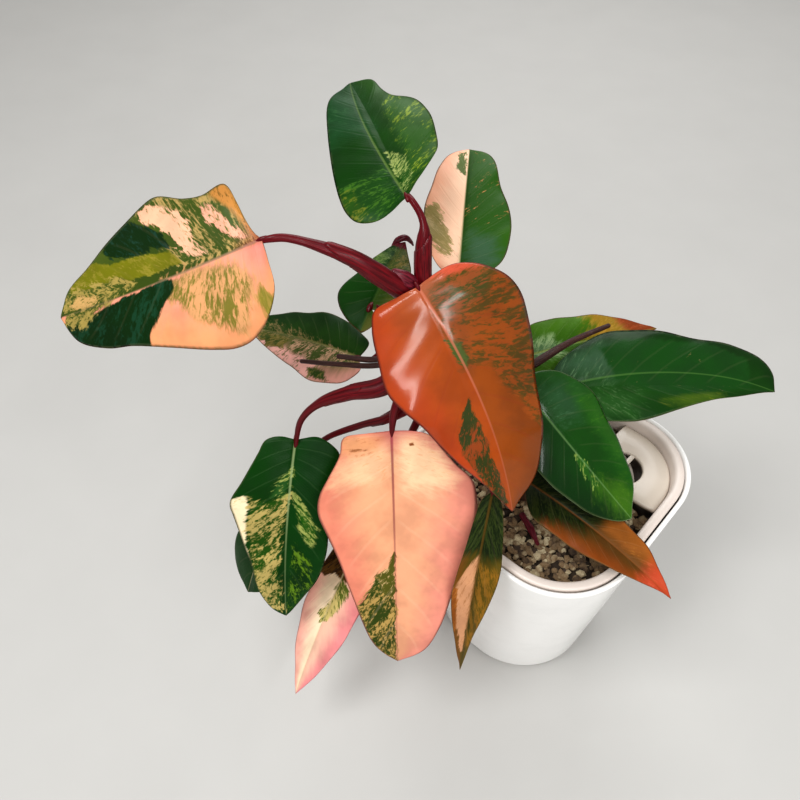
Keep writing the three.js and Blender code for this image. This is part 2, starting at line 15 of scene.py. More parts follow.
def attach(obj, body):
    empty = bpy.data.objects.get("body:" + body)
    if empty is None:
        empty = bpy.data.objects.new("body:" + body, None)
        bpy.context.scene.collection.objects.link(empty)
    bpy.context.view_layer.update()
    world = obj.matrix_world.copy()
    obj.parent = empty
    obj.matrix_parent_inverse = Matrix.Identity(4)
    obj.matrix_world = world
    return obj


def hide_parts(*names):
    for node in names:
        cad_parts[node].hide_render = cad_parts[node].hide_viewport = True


bl_info = {
    "name": "Potted Strawberry Philodendron",
    "version": (1, 0, 0),
    "blender": (4, 5, 0),
    "location": "View3D > Sidebar > Philodendron",
    "description": "Builds a variegated philodendron in its planter, with its stage",
    "category": "Add Mesh",
}

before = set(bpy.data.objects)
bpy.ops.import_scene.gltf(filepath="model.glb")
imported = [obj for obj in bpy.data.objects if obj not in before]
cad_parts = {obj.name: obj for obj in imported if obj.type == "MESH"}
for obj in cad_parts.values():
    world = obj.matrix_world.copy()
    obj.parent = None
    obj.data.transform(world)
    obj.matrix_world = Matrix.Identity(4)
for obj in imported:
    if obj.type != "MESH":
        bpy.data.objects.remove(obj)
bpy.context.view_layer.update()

MM = 0.001
BODY = "root"

# Planter, as in the frame: a rounded square in plan, turned so that one corner points nearly to +X.
POT_TURN = math.radians(48.7)
POT_HEIGHT = 226
RIM_SIDE = 210
RIM_CORNER = 65
FOOT_SIDE = 146
FOOT_CORNER = 66
FOOT_EDGE = 7
POT_WALL = 4
POT_FLOOR = 5
CLEAR = 0.3
RIM_GAP = 1.2
LINER_RIM = 8
LINER_WALL = 2.6
LINER_FOOT = 42
LINER_FLOOR = 4
LINER_SEAT = 14
LINER_RISE = 0.6
RIM_FLANK_TOP = 206
RIM_FLANK_FOOT = 196
DECK_TOP = 218
DECK_PLATE = 4
SHAFT_WALL = 3
BRIDGE_TURN = math.radians(47)
BRIDGE_WIDTH = 4
DECK_REACH = 54
DECK_CORNER = 111
FILL_HOLE_AT = 67
FILL_HOLE_RADIUS = 17
FILL_HOLE_COLLAR = 13
GRIT_TOP = 204
LINER_OUT = POT_WALL + RIM_GAP
LINER_IN = LINER_OUT + LINER_RIM

# Stones of the grit are made in batches, because a small mesh is quicker to add to. The pairs are the least
# and the most of a random draw: a stone's size, its three widths, its turn, tilt, rise off the bed and dents.
STONE_BATCH = 100
STONE_SPREAD = (0.75, 1.3)
STONE_WIDTHS = ((0.8, 1.3), (0.7, 1.1), (0.5, 0.85))
STONE_TURN = (0, 6.28)
STONE_TILT = (-0.6, 0.6)
STONE_RISE = (-0.4, 2.2)
STONE_DENT = (-0.25, 0.2)
STONE_SEED = 17
STONE_DECK_GAP = 1.8
STONE_WALL_GAP = 2.5
WELL_REACH = 105

# Colours that no setting changes, from dark to pale: the bed under the stones, dark as painted shade in the
# gaps between them; the petioles' painted sheen; and the dry sheaths, whose palest is a painted sheen, and
# stubs.
GRIT_BED_SHADE = ("2a1e12", "4c3c2a", "6c5c44")
STALK_PAINTED_SHEEN = "701a2e"
DRY_SHEATH = ("420e18", "7c2434", "9c5c66")
DRY_STUB = ("240e0c", "4c2218")

# Plant, as in the frame: a blade's usual half width as a share of its length, how much the feet of its side
# veins crowd to its base, the radius of a petiole's end, and how far it runs on under the blade.
BLADE_HALF_WIDTH = 0.3
VEIN_LEAN = 1.9
PETIOLE_TIP = 1.5
PETIOLE_UNDER = 7

STEM_POINTS = [
    (-14, -14, 138), (-17, -14, 206), (-36, -13, 272), (-68, -9, 345), (-96, -6, 398), (-104, -6, 413),
]
STEM_RADII = [8, 8.5, 8, 7.5, 6.5, 4]

# The usual form of a blade: how far it arches along its length, folds up from its midrib, curls back towards
# its edges and hangs at its tip.
FORM = dict(arch=0.05, fold=0.1, camber=0.2, droop=0)

# Each blade: where it meets its petiole, its tip, its roll about the line between them in degrees, its form,
# and the outlines of its halves as (along that line, out from it). Then its petiole's path and radii.
LEAVES = {
    "01_top": dict(
        at=(-117, 15, 477), tip=(-156, 134, 490), roll=-8, form=dict(FORM, fold=0.18, camber=0.25),
        left=[(-8, 12), (-10, 24), (-6, 34), (2, 38), (16, 39), (42, 36), (73, 30), (99, 23), (115, 13)],
        right=[(4, 6), (16, 19), (30, 31), (47, 36), (69, 38), (82, 35), (94, 22), (104, 17), (119, 13)],
        petiole=[
            (-106, -12, 427), (-107, -9, 440), (-107, -4, 453), (-106, 0, 463), (-108, 6, 469),
            (-113, 12, 475)],
        radii=[4.7, 4.8, 4.8, 4.7, 4.2, 2.4, 2.2, 2.1],
    ),
    "02_upper_right": dict(
        at=(-82, 18, 413), tip=(-69, 135, 438), roll=0, form=dict(FORM, arch=0.03, fold=0.15, camber=0.18),
        left=[(4, 12), (20, 22), (38, 26), (56, 28), (74, 25), (95, 21), (112, 15)],
        right=[(0, 14), (8, 25), (19, 31), (38, 34), (55, 33), (82, 25), (113, 16)],
        petiole=[(-96, -4, 392), (-95, 4, 397), (-92, 11, 402), (-87, 15, 408)],
        radii=[2.8, 2.4, 1.9],
    ),
    "03_left": dict(
        at=(-204, -13, 466), tip=(-348, -7, 397), roll=-42, form=dict(FORM, camber=0.22),
        left=[
            (-1, 13), (0, 30), (10, 46), (24, 55), (38, 57), (52, 54), (78, 45), (105, 36), (127, 31),
            (148, 20)],
        right=[
            (6, 9), (10, 27), (16, 41), (30, 38), (44, 41), (65, 50), (78, 47), (104, 32), (126, 22),
            (150, 12)],
        petiole=[
            (-104, -8, 410), (-117, -14, 425), (-129, -17, 437), (-147, -16, 451), (-171, -13, 461),
            (-190, -12, 466), (-199, -13, 466)],
        radii=[6.5, 6.5, 6.2, 5.6, 4.8, 4, 2.8, 2.5],
    ),
    "04_back_small": dict(
        at=(-142, 17, 385), tip=(-117, 75, 398), roll=0, form=dict(FORM, fold=0.15),
        left=[
            (-3, -4), (-8, -7), (-14, -7), (-18, -2), (-16, 6), (-12, 14), (-5, 22), (6, 28), (18, 25),
            (39, 15), (55, 7)],
        right=[(-1, 5), (2, 11), (9, 16), (20, 19), (35, 17), (51, 8)],
        petiole=[(-97, -4, 394), (-110, 5, 396), (-124, 12, 391), (-135, 15, 386)],
        radii=[2.8, 2.3, 1.8],
    ),
    "05_back_left": dict(
        at=(-152, 19, 334), tip=(-245, 80, 307), roll=-15, form=FORM,
        left=[(-7, 9), (-3, 18), (3, 25), (16, 30), (29, 31), (49, 25), (69, 20), (98, 9)],
        right=[(-3, 12), (9, 20), (38, 29), (67, 25), (86, 21), (105, 11)],
        petiole=[(-85, -5, 373), (-96, 3, 375), (-115, 12, 364), (-133, 15, 346), (-144, 16, 334)],
        radii=[3, 2.5, 2.2, 1.8],
    ),
    "06_left_low": dict(
        at=(-198, -33, 300), tip=(-212, -106, 167), roll=-12,
        form=dict(FORM, arch=0.07, fold=0.15, camber=0.25),
        left=[(-3, 16), (1, 26), (8, 33), (19, 33), (35, 30), (55, 28), (83, 29), (109, 24), (131, 13)],
        right=[
            (-2, 11), (2, 22), (12, 27), (33, 37), (52, 46), (63, 43), (81, 36), (100, 29), (127, 21),
            (145, 11)],
        petiole=[
            (-93, -8, 390), (-103, -17, 387), (-118, -29, 373), (-133, -36, 361), (-157, -35, 353),
            (-178, -33, 340), (-192, -32, 321)],
        radii=[5.5, 6.2, 6.2, 5.8, 4.6, 2.8, 2.2],
    ),
    "06b_left_hidden": dict(
        at=(-195, -24, 261), tip=(-251, -70, 139), roll=0, form=FORM,
        left=[(-1, 21), (10, 34), (38, 42), (71, 40), (110, 27)],
        right=[(4, 14), (14, 19), (42, 31), (74, 36), (93, 33), (109, 32), (128, 28)],
        petiole=[
            (-86, -8, 379), (-95, -14, 370), (-112, -31, 341), (-129, -32, 324), (-150, -25, 307),
            (-177, -20, 286), (-191, -20, 268)],
        radii=[5.4, 5.4, 4.8, 3.2, 2.6, 2.4, 2],
    ),
    "07_front": dict(
        at=(-127, -47, 327), tip=(-123, -133, 143), roll=0, form=FORM,
        left=[
            (0, 14), (4, 27), (15, 36), (28, 46), (42, 58), (60, 61), (79, 59), (108, 51), (137, 43),
            (167, 33), (191, 21)],
        right=[
            (1, 18), (4, 34), (16, 37), (34, 46), (51, 54), (63, 55), (80, 49), (105, 40), (156, 27),
            (184, 17)],
        petiole=[(-90, -8, 386), (-100, -18, 382), (-111, -30, 369), (-123, -40, 349), (-126, -44, 335)],
        radii=[3.6, 3.5, 3.3, 3],
    ),
    "08_orange": dict(
        at=(-110, -19, 434), tip=(-43, -92, 293), roll=22, form=dict(FORM, arch=0.08, camber=0.25),
        left=[
            (-2, 9), (-3, 26), (3, 41), (10, 50), (20, 58), (35, 62), (56, 59), (80, 51), (108, 43),
            (127, 37), (150, 26)],
        right=[
            (0, 14), (2, 31), (12, 37), (29, 42), (52, 46), (66, 42), (81, 35), (100, 29), (118, 22),
            (140, 12)],
        petiole=[(-93, -13, 397), (-98, -18, 410), (-104, -20, 424)],
        radii=[3.4, 3, 2.4],
    ),
    "09_back_right": dict(
        at=(-31, 38, 312), tip=(90, 77, 309), roll=15, form=dict(FORM, fold=0.12),
        left=[(8, 15), (24, 26), (40, 27), (66, 23), (88, 18), (110, 9)],
        right=[(2, 18), (16, 22), (42, 19), (75, 13), (105, 6)],
        petiole=[(-44, -3, 294), (-44, 9, 301), (-39, 25, 308)],
        radii=[3, 2.5, 1.9],
    ),
    "10_right": dict(
        at=(-8, 9, 308), tip=(161, 0, 319), roll=18, form=dict(FORM, fold=0.16, camber=0.22, droop=0.03),
        left=[
            (5, 16), (14, 27), (27, 38), (47, 48), (65, 49), (84, 47), (114, 40), (140, 36), (160, 27),
            (169, 14)],
        right=[(8, 16), (25, 26), (42, 29), (61, 29), (80, 25), (107, 16), (145, 6)],
        petiole=[(-28, -4, 258), (-26, -1, 279), (-20, 5, 297), (-14, 9, 304)],
        radii=[3.2, 2.8, 2.4, 2],
    ),
    "11_right_front": dict(
        at=(-31, -19, 337), tip=(50, -76, 260), roll=16, form=dict(FORM, arch=0.06, fold=0.12, camber=0.25),
        left=[(-6, 9), (-3, 20), (8, 32), (33, 41), (58, 35), (79, 29), (110, 14)],
        right=[(0, 9), (10, 19), (26, 30), (51, 34), (74, 31), (101, 22), (118, 10)],
        petiole=[(-43, -20, 297), (-43, -24, 312), (-38, -22, 327)],
        radii=[3.2, 2.8, 2.4, 2],
    ),
    "12_low_pink": dict(
        at=(-144, -41, 210), tip=(-211, -133, 76), roll=0, form=dict(FORM, fold=0.12),
        left=[(2, 12), (14, 24), (39, 29), (74, 27), (107, 24), (145, 13)],
        right=[(3, 9), (20, 15), (46, 19), (72, 21), (92, 22), (120, 18), (148, 9)],
        petiole=[
            (-80, -9, 367), (-87, -15, 366), (-100, -28, 343), (-112, -36, 314), (-130, -42, 258),
            (-142, -42, 221)],
        radii=[3.4, 3.2, 2.8, 2.4, 2],
    ),
    "13_hanging": dict(
        at=(-55, -73, 291), tip=(-72, -132, 123), roll=0, form=dict(FORM, arch=0.08, fold=0.3),
        left=[(4, 7), (18, 12), (42, 16), (63, 17), (91, 13), (121, 7)],
        right=[(6, 6), (23, 9), (43, 11), (68, 14), (93, 15), (126, 9)],
        petiole=[(-52, -20, 303), (-53, -38, 307), (-54, -58, 303), (-55, -69, 296)],
        radii=[3, 2.6, 2.2, 1.8],
    ),
    "14_low_right": dict(
        at=(-24, -44, 263), tip=(75, -126, 232), roll=10, form=dict(FORM, arch=0.07, fold=0.15),
        left=[(-2, 13), (14, 17), (34, 19), (57, 20), (78, 20), (97, 17), (114, 9)],
        right=[(7, 12), (19, 22), (36, 23), (67, 21), (81, 17), (97, 12), (117, 4)],
        petiole=[(-27, -22, 242), (-27, -31, 252), (-25, -39, 259)],
        radii=[2.8, 2.4, 1.8],
    ),
}

# How each blade looks, where it isn't as in COMMON_LOOK. left and right are the colours of its halves, by
# the midrib and by the edge. A patch is its colour, the colour and share of its flecks, how ragged and how
# soft its edge is, and its outline in the blade's own plane, as (along the midrib, out to its left).
# shade is the strength of the painted shade: broad noise clouds that darken a blade towards black.
COMMON_LOOK = dict(
    veins=11, vein="d8c8a0", vein_strength=0.04, rib="c8b890", rib_strength=0.75, margin="5a1420",
    flare="7a2438", flare_strength=0.0, shade=0.2, under="6d7a50", roughness=0.38, shine=0.12, coat=0.0,
    relief=0.5, quilt=0.0, bow=0.0, wave=1.0, patches=(),
)
LOOKS = {
    "01_top": dict(
        left=("0e3a04", "103a08"), right=("143e06", "224c0c"), vein="4f7a3c", rib="6c8440", margin="20341a",
        bow=6, flare="8a7a48", rib_strength=0.5, roughness=0.4, vein_strength=0.018,
        patches=[
            ("2a5414", "7c9028", 0.34, 5, 3, [
                (5, -3), (40, -12), (70, -10), (98, -18), (102, -30), (60, -44), (30, -32)]),
            ("1a4410", "3e681e", 0.38, 4, 3, [(0, 6), (24, 6), (20, 36), (-6, 34), (-12, 20)]),
            ("28500f", "6c7424", 0.4, 4, 2, [(-8, 26), (14, 30), (16, 42), (-8, 40)]),
            ("2c5418", "98a460", 0.42, 3, 1, [(4, 0), (36, 0), (30, -9), (12, -8)]),
            ("1c4824", "2c5830", 0.3, 7, 12, [(60, 4), (120, 4), (118, 22), (90, 30), (60, 34)]),
        ],
    ),
    "02_upper_right": dict(
        left=("fccfb0", "f8b898"), right=("244a0c", "305a12"), vein="b0a878", rib="e0c8a0", margin="8a5048",
        shade=0.05, rib_strength=0.5, vein_strength=0.018,
        patches=[
            ("9a8a58", "b8a070", 0.4, 4, 0.8, [
                (14, 6), (28, 6), (46, 15), (58, 19), (60, 28), (48, 28), (30, 24), (18, 14)]),
            ("c8a070", "5a6a34", 0.9, 3, 0.8, [(88, 1), (116, 2), (116, 8), (96, 8)]),
            ("28520f", "c88858", 0.2, 3, 1, [(20, -3), (118, -3), (110, -18), (70, -34), (45, -34)]),
            ("3c5c40", "2c5830", 0.3, 6, 8, [(0, -4), (36, -5), (30, -24), (10, -28)]),
        ],
    ),
    "03_left": dict(
        left=("e89a80", "eca070"), right=("3a4c14", "4a5a1c"), vein="d8b890", rib="8a7458", margin="5a1420",
        bow=4.5, flare="b03850", flare_strength=0.4, vein_strength=0.018, roughness=0.42, coat=0.08,
        patches=[
            ("44561a", "b89c60", 0.45, 6, 2, [
                (-4, 0), (-4, -60), (60, -60), (92, -52), (70, -30), (62, -4), (60, 0)]),
            ("7c7430", "d49c6c", 0.5, 8, 3, [
                (62, 4), (20, 8), (12, 22), (18, 40), (28, 50), (38, 48), (48, 40), (62, 25), (75, 14)]),
            ("8a8030", "a08a40", 0.4, 3, 1.5, [(8, 26), (2, 36), (3, 50), (10, 46), (12, 34)]),
            ("0a2c08", "164028", 0.4, 2, 0.8, [
                (62, 5), (62, 12), (75, 22), (88, 34), (93, 46), (130, 42), (152, 26), (160, 5), (130, 8),
                (100, 5), (80, 5)]),
            ("f6bc9a", "5a6a2c", 0.35, 5, 0.8, [
                (78, -46), (70, -48), (60, -40), (48, -34), (42, -26), (42, -12), (36, -3), (46, -3),
                (54, -10), (60, -22), (68, -30), (80, -38)]),
            ("f4b094", "5a6a2c", 0.4, 4, 0.8, [
                (33, -32), (26, -30), (14, -14), (8, -4), (14, -3), (22, -10), (32, -20)]),
            ("c88a44", "7a5c1c", 0.4, 2, 2, [
                (2, -1), (10, -30), (17, -50), (25, -46), (25, -36), (14, -22), (6, -6)]),
            ("0c2c08", "1c4030", 0.4, 4, 1, [
                (58, -14), (60, -24), (72, -32), (88, -42), (100, -40), (112, -34), (104, -20), (80, -16)]),
            ("747410", "8e8430", 0.4, 2, 0.8, [
                (54, -2), (60, -12), (80, -15), (104, -18), (125, -26), (142, -18), (146, -4), (120, -5),
                (95, -3), (75, -2)]),
            ("44541a", "a89450", 0.5, 5, 1.5, [
                (88, 0), (100, -8), (150, -12), (158, 8), (140, 12), (118, 6)]),
            ("cca468", "5a641c", 0.4, 3, 1, [(120, -2), (138, -8), (148, -4), (142, 2), (124, 3)]),
        ],
    ),
    "04_back_small": dict(
        left=("123c08", "14400a"), right=("344c14", "60642c"), margin="5a1c24", flare="a02c3c",
        vein_strength=0.018, rib="44602a", rib_strength=0.35,
        patches=[
            ("8a7a40", "4a5a24", 0.6, 4, 2, [(18, 3), (30, 2), (56, 2), (50, -12), (34, -18), (20, -19)]),
            ("48642c", "6c8048", 0.4, 4, 2, [(28, 12), (40, 4), (54, 3), (52, 8), (38, 16)]),
            ("6c1c2c", "8a3040", 0.3, 2, 1.5, [(56, -8), (56, 8), (72, 4), (72, -4)]),
        ],
    ),
    "05_back_left": dict(
        left=("6c6a3a", "e8a898"), right=("244810", "14380c"), margin="6a2028", vein_strength=0.018,
        rib="8a8450",
        patches=[
            ("4c5c28", "d0a888", 0.46, 5, 2, [
                (0, 1), (30, 1), (60, 1), (62, 12), (40, 20), (14, 16), (2, 10)]),
            ("f8bcb0", "6c6a38", 0.34, 5, 1.5, [
                (24, 18), (60, 14), (75, 8), (95, 4), (105, 2), (100, 12), (80, 26), (50, 42), (28, 42)]),
            ("42541c", "8a7a40", 0.5, 5, 1, [(62, 4), (85, 1), (100, 0), (104, 6), (84, 14), (66, 14)]),
            ("3c5220", "8a8048", 0.4, 4, 1.5, [(20, 20), (34, 22), (26, 30), (10, 28)]),
            ("34501c", "8c7c50", 0.42, 5, 3, [(30, -1), (60, -5), (90, -8), (112, -3), (112, 2), (30, 2)]),
        ],
    ),
    "06_left_low": dict(
        left=("0c3a0c", "0e3c0e"), right=("0a3606", "0c3c08"), vein="6a8a5c", rib="8a9a6c", margin="2c3c1c",
        roughness=0.36, bow=-2.5, vein_strength=0.07,
        patches=[
            ("f6e2bc", "c8b878", 0.25, 4, 1.5, [
                (50, -46), (46, -36), (54, -30), (66, -34), (84, -33), (112, -27), (95, -36), (70, -44)]),
            ("244c0c", "b8a464", 0.46, 5, 2, [
                (40, -2), (44, -14), (48, -30), (58, -32), (80, -30), (112, -28), (142, -14), (146, -2),
                (110, -6), (70, -6)]),
            ("24540f", "98a058", 0.46, 4, 2, [(40, 2), (52, 12), (70, 22), (82, 16), (66, 8), (50, 3)]),
            ("24501a", "a0a85c", 0.42, 4, 2, [(20, -1), (36, -14), (46, -18), (42, -6), (34, -1)]),
            ("0c3208", "5c7c1c", 0.4, 4, 3, [(80, 3), (142, 2), (120, 16), (100, 18), (86, 10)]),
        ],
    ),
    "06b_left_hidden": dict(
        left=("0c3606", "0e3a08"), right=("0c3606", "0e3a08"), margin="2c3c1c", vein_strength=0.018,
        patches=[
            ("2a5a24", "4a7a3c", 0.4, 5, 6, [(10, 2), (30, 18), (60, 20), (70, 6)]),
        ],
    ),
    "07_front": dict(
        left=("e8a682", "e49280"), right=("e8a680", "e28a72"), vein="f8d8b8", rib="7a343c", margin="98304c",
        flare="a02c50", flare_strength=0.6, quilt=0.22, veins=9, roughness=0.42, coat=0.06,
        vein_strength=0.07, under="d8907c",
        patches=[
            ("f4cca4", "f0b890", 0.3, 8, 9, [
                (4, 6), (22, 4), (40, 10), (48, 26), (40, 44), (16, 34), (8, 20)]),
            ("f2c098", "ecac80", 0.3, 8, 9, [
                (8, -4), (30, -4), (36, -14), (40, -44), (24, -40), (12, -24)]),
            ("dc9c70", "cc8860", 0.3, 4, 5, [(2, -4), (4, -38), (16, -36), (14, -10)]),
            ("d8b884", "56561a", 0.66, 4, 1, [
                (94, 0), (104, -5), (112, -16), (122, -19), (134, -24), (140, -12), (138, -1)]),
            ("34440c", "b89858", 0.44, 4, 1, [
                (112, -14), (122, -19), (136, -25), (150, -34), (182, -30), (203, -6), (203, 0), (136, 0),
                (130, -10), (122, -10)]),
            ("8a5430", "a87048", 0.5, 0.6, 0.5, [
                (12, -17), (11.2, -28), (12.4, -36), (13.6, -28), (13.2, -18)]),
            ("7a4424", "8a5028", 0.5, 0.4, 0.6, [(9, 12), (8.6, 15), (10.4, 15.6), (10.8, 12.4)]),
        ],
    ),
    "08_orange": dict(
        left=("8e4402", "7c3c04"), right=("a04604", "a84010"), vein="8a2c14", rib="b86a50", margin="6a1c14",
        flare="c87860", flare_strength=0.3, bow=6.5, roughness=0.36, coat=0.6, wave=2.0, quilt=0.04,
        vein_strength=0.12, relief=0.3, under="8a2c24",
        patches=[
            ("54400c", "8e460c", 0.5, 6, 2, [
                (4, 3), (0, 26), (2, 50), (28, 66), (70, 62), (110, 52), (136, 42), (118, 36), (95, 32),
                (80, 24), (62, 22), (58, 4), (30, 2)]),
            ("464614", "8a4a20", 0.45, 4, 3, [(4, 4), (2, 24), (10, 48), (22, 40), (24, 14), (14, 4)]),
            ("c8563c", "a84a2c", 0.3, 3, 2, [
                (-2, 1), (-14, 20), (-14, 48), (2, 64), (14, 66), (6, 46), (1, 24)]),
            ("343c10", "8c4010", 0.4, 3, 0.6, [
                (76, 0), (84, -9), (97, -17), (112, -17), (125, -14), (140, -12), (155, -8), (164, -3),
                (164, 0), (120, 0)]),
            ("4a5a20", "3c4a1c", 0.4, 3, 0.8, [(36, 1), (42, 9), (54, 10), (58, 6), (52, 2)]),
        ],
    ),
    "09_back_right": dict(
        left=("386010", "467010"), right=("386010", "467010"), margin="8a2a20", vein_strength=0.018,
        rib="8a9a50",
        patches=[
            ("9c7c28", "b08a3a", 0.4, 6, 7, [(60, 2), (72, 10), (66, 30), (98, 26), (106, 8), (100, -12)]),
            ("8c4420", "a85630", 0.3, 4, 5, [
                (100, 2), (92, 16), (100, 26), (126, 8), (126, -6), (104, -10)]),
            ("5a7a50", "88a070", 0.5, 5, 5, [(0, -6), (0, 12), (34, 10), (40, -8)]),
        ],
    ),
    "10_right": dict(
        left=("123e08", "0c3404"), right=("144208", "0e3806"), margin="4a2020", roughness=0.34, bow=10,
        vein_strength=0.015, rib="5c8440", rib_strength=0.38, coat=0.2,
        patches=[
            # Painted reflection: this pale grey-green patch by the base stands for light reflected from
            # above.
            ("3c5c40", "5c7c58", 0.3, 6, 14, [(4, 10), (6, 28), (40, 36), (72, 30), (84, 16), (60, 11)]),
            ("24541a", "4c7040", 0.3, 6, 10, [(6, -2), (6, -18), (36, -26), (60, -24), (66, -8)]),
            ("446010", "647018", 0.3, 5, 6, [(84, -12), (100, -20), (128, -10), (120, -4), (96, -6)]),
            ("144410", "b09468", 0.12, 3, 2, [
                (40, 32), (60, 40), (120, 36), (150, 24), (150, 0), (90, -10), (50, 6)]),
        ],
    ),
    "11_right_front": dict(
        left=("124408", "1a500c"), right=("0e3c0a", "083006"), rib="7ca066", margin="8aa47c", roughness=0.3,
        coat=0.3, bow=-4, vein_strength=0.015, rib_strength=0.38,
        patches=[
            # Painted sheen: this soft grey-green patch by the base stands for a broad reflection.
            ("2c5430", "3c6440", 0.3, 6, 12, [(4, 6), (10, 26), (30, 30), (40, 16), (30, 4)]),
            ("3c6812", "587c20", 0.25, 6, 9, [(84, -8), (96, 12), (124, 14), (130, 0), (110, -10)]),
            ("245814", "809448", 0.34, 3, 0.8, [(56, -6), (66, -2), (84, -6), (84, -11), (66, -9)]),
            ("285c12", "3c6c18", 0.3, 6, 8, [(20, 26), (40, 38), (80, 34), (84, 20), (50, 22)]),
        ],
    ),
    "12_low_pink": dict(
        left=("f0c0a8", "e89090"), right=("f6dcbc", "eeac9c"), margin="c86a80", roughness=0.45,
        under="e8a8a0",
        patches=[
            ("3a2414", "6a4a20", 0.5, 3, 1, [
                (-6, -34), (-6, 34), (40, 34), (56, 10), (56, -6), (62, -14), (60, -34)]),
            ("d0bc78", "5c6a24", 0.46, 3, 1, [
                (58, 2), (62, 10), (78, 10), (95, 6), (100, -2), (92, -6), (84, -2), (70, 0)]),
        ],
    ),
    "13_hanging": dict(
        left=("4a4010", "64541a"), right=("584a14", "744a18"), margin="5a3018", veins=6,
        vein_strength=0.018, rib="5c4418",
        patches=[
            ("cc9670", "b48058", 0.35, 2, 0.8, [
                (48, 0), (60, -7), (80, -13), (105, -10), (150, -2), (150, 0)]),
            ("8a4e1c", "a86a2c", 0.4, 2, 0.8, [(80, -12), (84, -24), (112, -20), (134, -8), (108, -9)]),
            ("5c4c12", "8c6420", 0.5, 5, 4, [(56, 2), (60, 20), (100, 14), (140, 6), (140, 2)]),
            ("18240e", "34401a", 0.5, 5, 5, [(-8, -30), (-8, 30), (42, 30), (52, 4), (48, -2), (56, -24)]),
        ],
    ),
    "14_low_right": dict(
        left=("6c4418", "9c5c24"), right=("5c3c14", "844414"), margin="8a2c1c", vein_strength=0.018,
        rib="8a5428", rib_strength=0.4,
        patches=[
            # This dark patch over the base is mostly painted shadow cast by the leaf above, and partly the
            # base's own dark colour.
            ("141f0c", "2c3414", 0.5, 6, 9, [
                (-8, -32), (-8, 32), (50, 30), (64, 6), (56, -8), (36, -18), (16, -32)]),
            ("8c5420", "9c6428", 0.3, 3, 4, [(64, 4), (66, 18), (88, 18), (100, 8), (84, 3)]),
            ("b84a2c", "c85c3c", 0.3, 3, 8, [(106, -14), (106, 14), (138, 10), (138, -10)]),
        ],
    ),
}

STUBS = {
    "stub_left_low": (
        [
            (-92, -7, 393), (-101, -15, 389), (-117, -17, 373), (-136, -15, 360), (-165, -9, 355),
            (-193, -3, 352),
        ],
        [2.3, 2.2, 2, 1.8, 1.6],
    ),
    "stub_left_high": (
        [(-91, -6, 388), (-102, -9, 387), (-117, -13, 376), (-136, -13, 364), (-166, -6, 360)],
        [2.4, 2.3, 2.1, 1.8],
    ),
    "stub_right": (
        [(-52, -1, 320), (-38, 6, 328), (-20, 14, 333), (9, 32, 338), (40, 46, 342)],
        [4, 3.6, 3, 2.2, 1.8],
    ),
}

SHEATHS = {
    "cataphyll_crown": ([(-109, -14, 430), (-118, -15, 437), (-127, -14, 442)], [3.4, 4, 2.6]),
    "cataphyll_fallen": ([(-22, -36, 209), (-16, -50, 208), (-11, -66, 207)], [2, 2.4, 1]),
}

# How far up its petiole each clasping sheath goes, as a share of the petiole's length, and how much thicker
# than the petiole it is.
SHEATH_REACH = {"01_top": 0.66, "03_left": 0.74, "06_left_low": 0.85, "06b_left_hidden": 0.63}
SHEATH_OVER = 0.9

# The swelling where a petiole meets its blade.
COLLAR = [1.3, 1.6, 0.7]
COLLARS = {"04_back_small": [1.8, 2.4, 1.4]}

# The dry, rolled-up end of the small back leaf.
CURL_POINTS = [(-127, 72, 395.5), (-122, 75, 399.5), (-117, 77, 400), (-113, 79, 395), (-111, 80, 390.5)]
CURL_RADII = [1.0, 2.4, 2.5, 1.6, 0.6]

# Stage, in metres: each lamp's name, place, long side, sizes, power, and whether it shows in reflections;
# then the point they shine at.
LAMPS = [
    ("Key", (-0.8, -0.6, 2.0), (0, 1, 0), (0.7, 0.7), 20, True),
    ("Window", (0.24, -1.26, 1.54), (0.65, 0.71, 0.43), (1.7, 0.12), 9, True),
    ("Fill", (0.9, -1.7, 0.6), (1, 0.5, 0), (1.0, 1.0), 9, False),
    ("Back", (0.2, 1.6, 1.6), (1, 0, 0), (1.2, 1.2), 13, True),
]
LAMP_AIM = Vector((-0.1, -0.05, 0.38))
FLOOR_REACH = 6.0
ROOM_TINT = (1.0, 0.99, 0.97, 1.0)
CAMERA_LENS = 36
CAMERA_PLACE = (-0.121, -0.406, 0.758)
CAMERA_TILT = math.radians(42)


# Curves.

# Steps along a curve before it is spaced out evenly, and steps round a path's corner.
DENSE_STEPS = 400
CORNER_STEPS = 6


def segment_value(a, b, c, d, ta, tb, tc, w):
    """One coordinate of a centripetal curve between b and c, at the share w."""
    start = ((b - a) / ta - (c - a) / (ta + tb) + (c - b) / tb) * tb
    end = ((c - b) / tb - (d - b) / (tb + tc) + (d - c) / tc) * tb
    return b + start * w + (3 * (c - b) - 2 * start - end) * w**2 + (2 * (b - c) + start + end) * w**3


def curve_point(points, share):
    """The point of a centripetal Catmull-Rom curve through the points, at a share of its segments."""
    along = share * (len(points) - 1)
    i = min(int(along), len(points) - 2)
    w = along - i
    b, c = points[i], points[i + 1]
    a = points[i - 1] if i > 0 else 2 * b - c
    d = points[i + 2] if i + 2 < len(points) else 2 * c - b
    ta, tb, tc = ((q - p).length ** 0.5 for p, q in ((a, b), (b, c), (c, d)))
    return Vector([segment_value(*xs, ta, tb, tc, w) for xs in zip(a, b, c, d)])


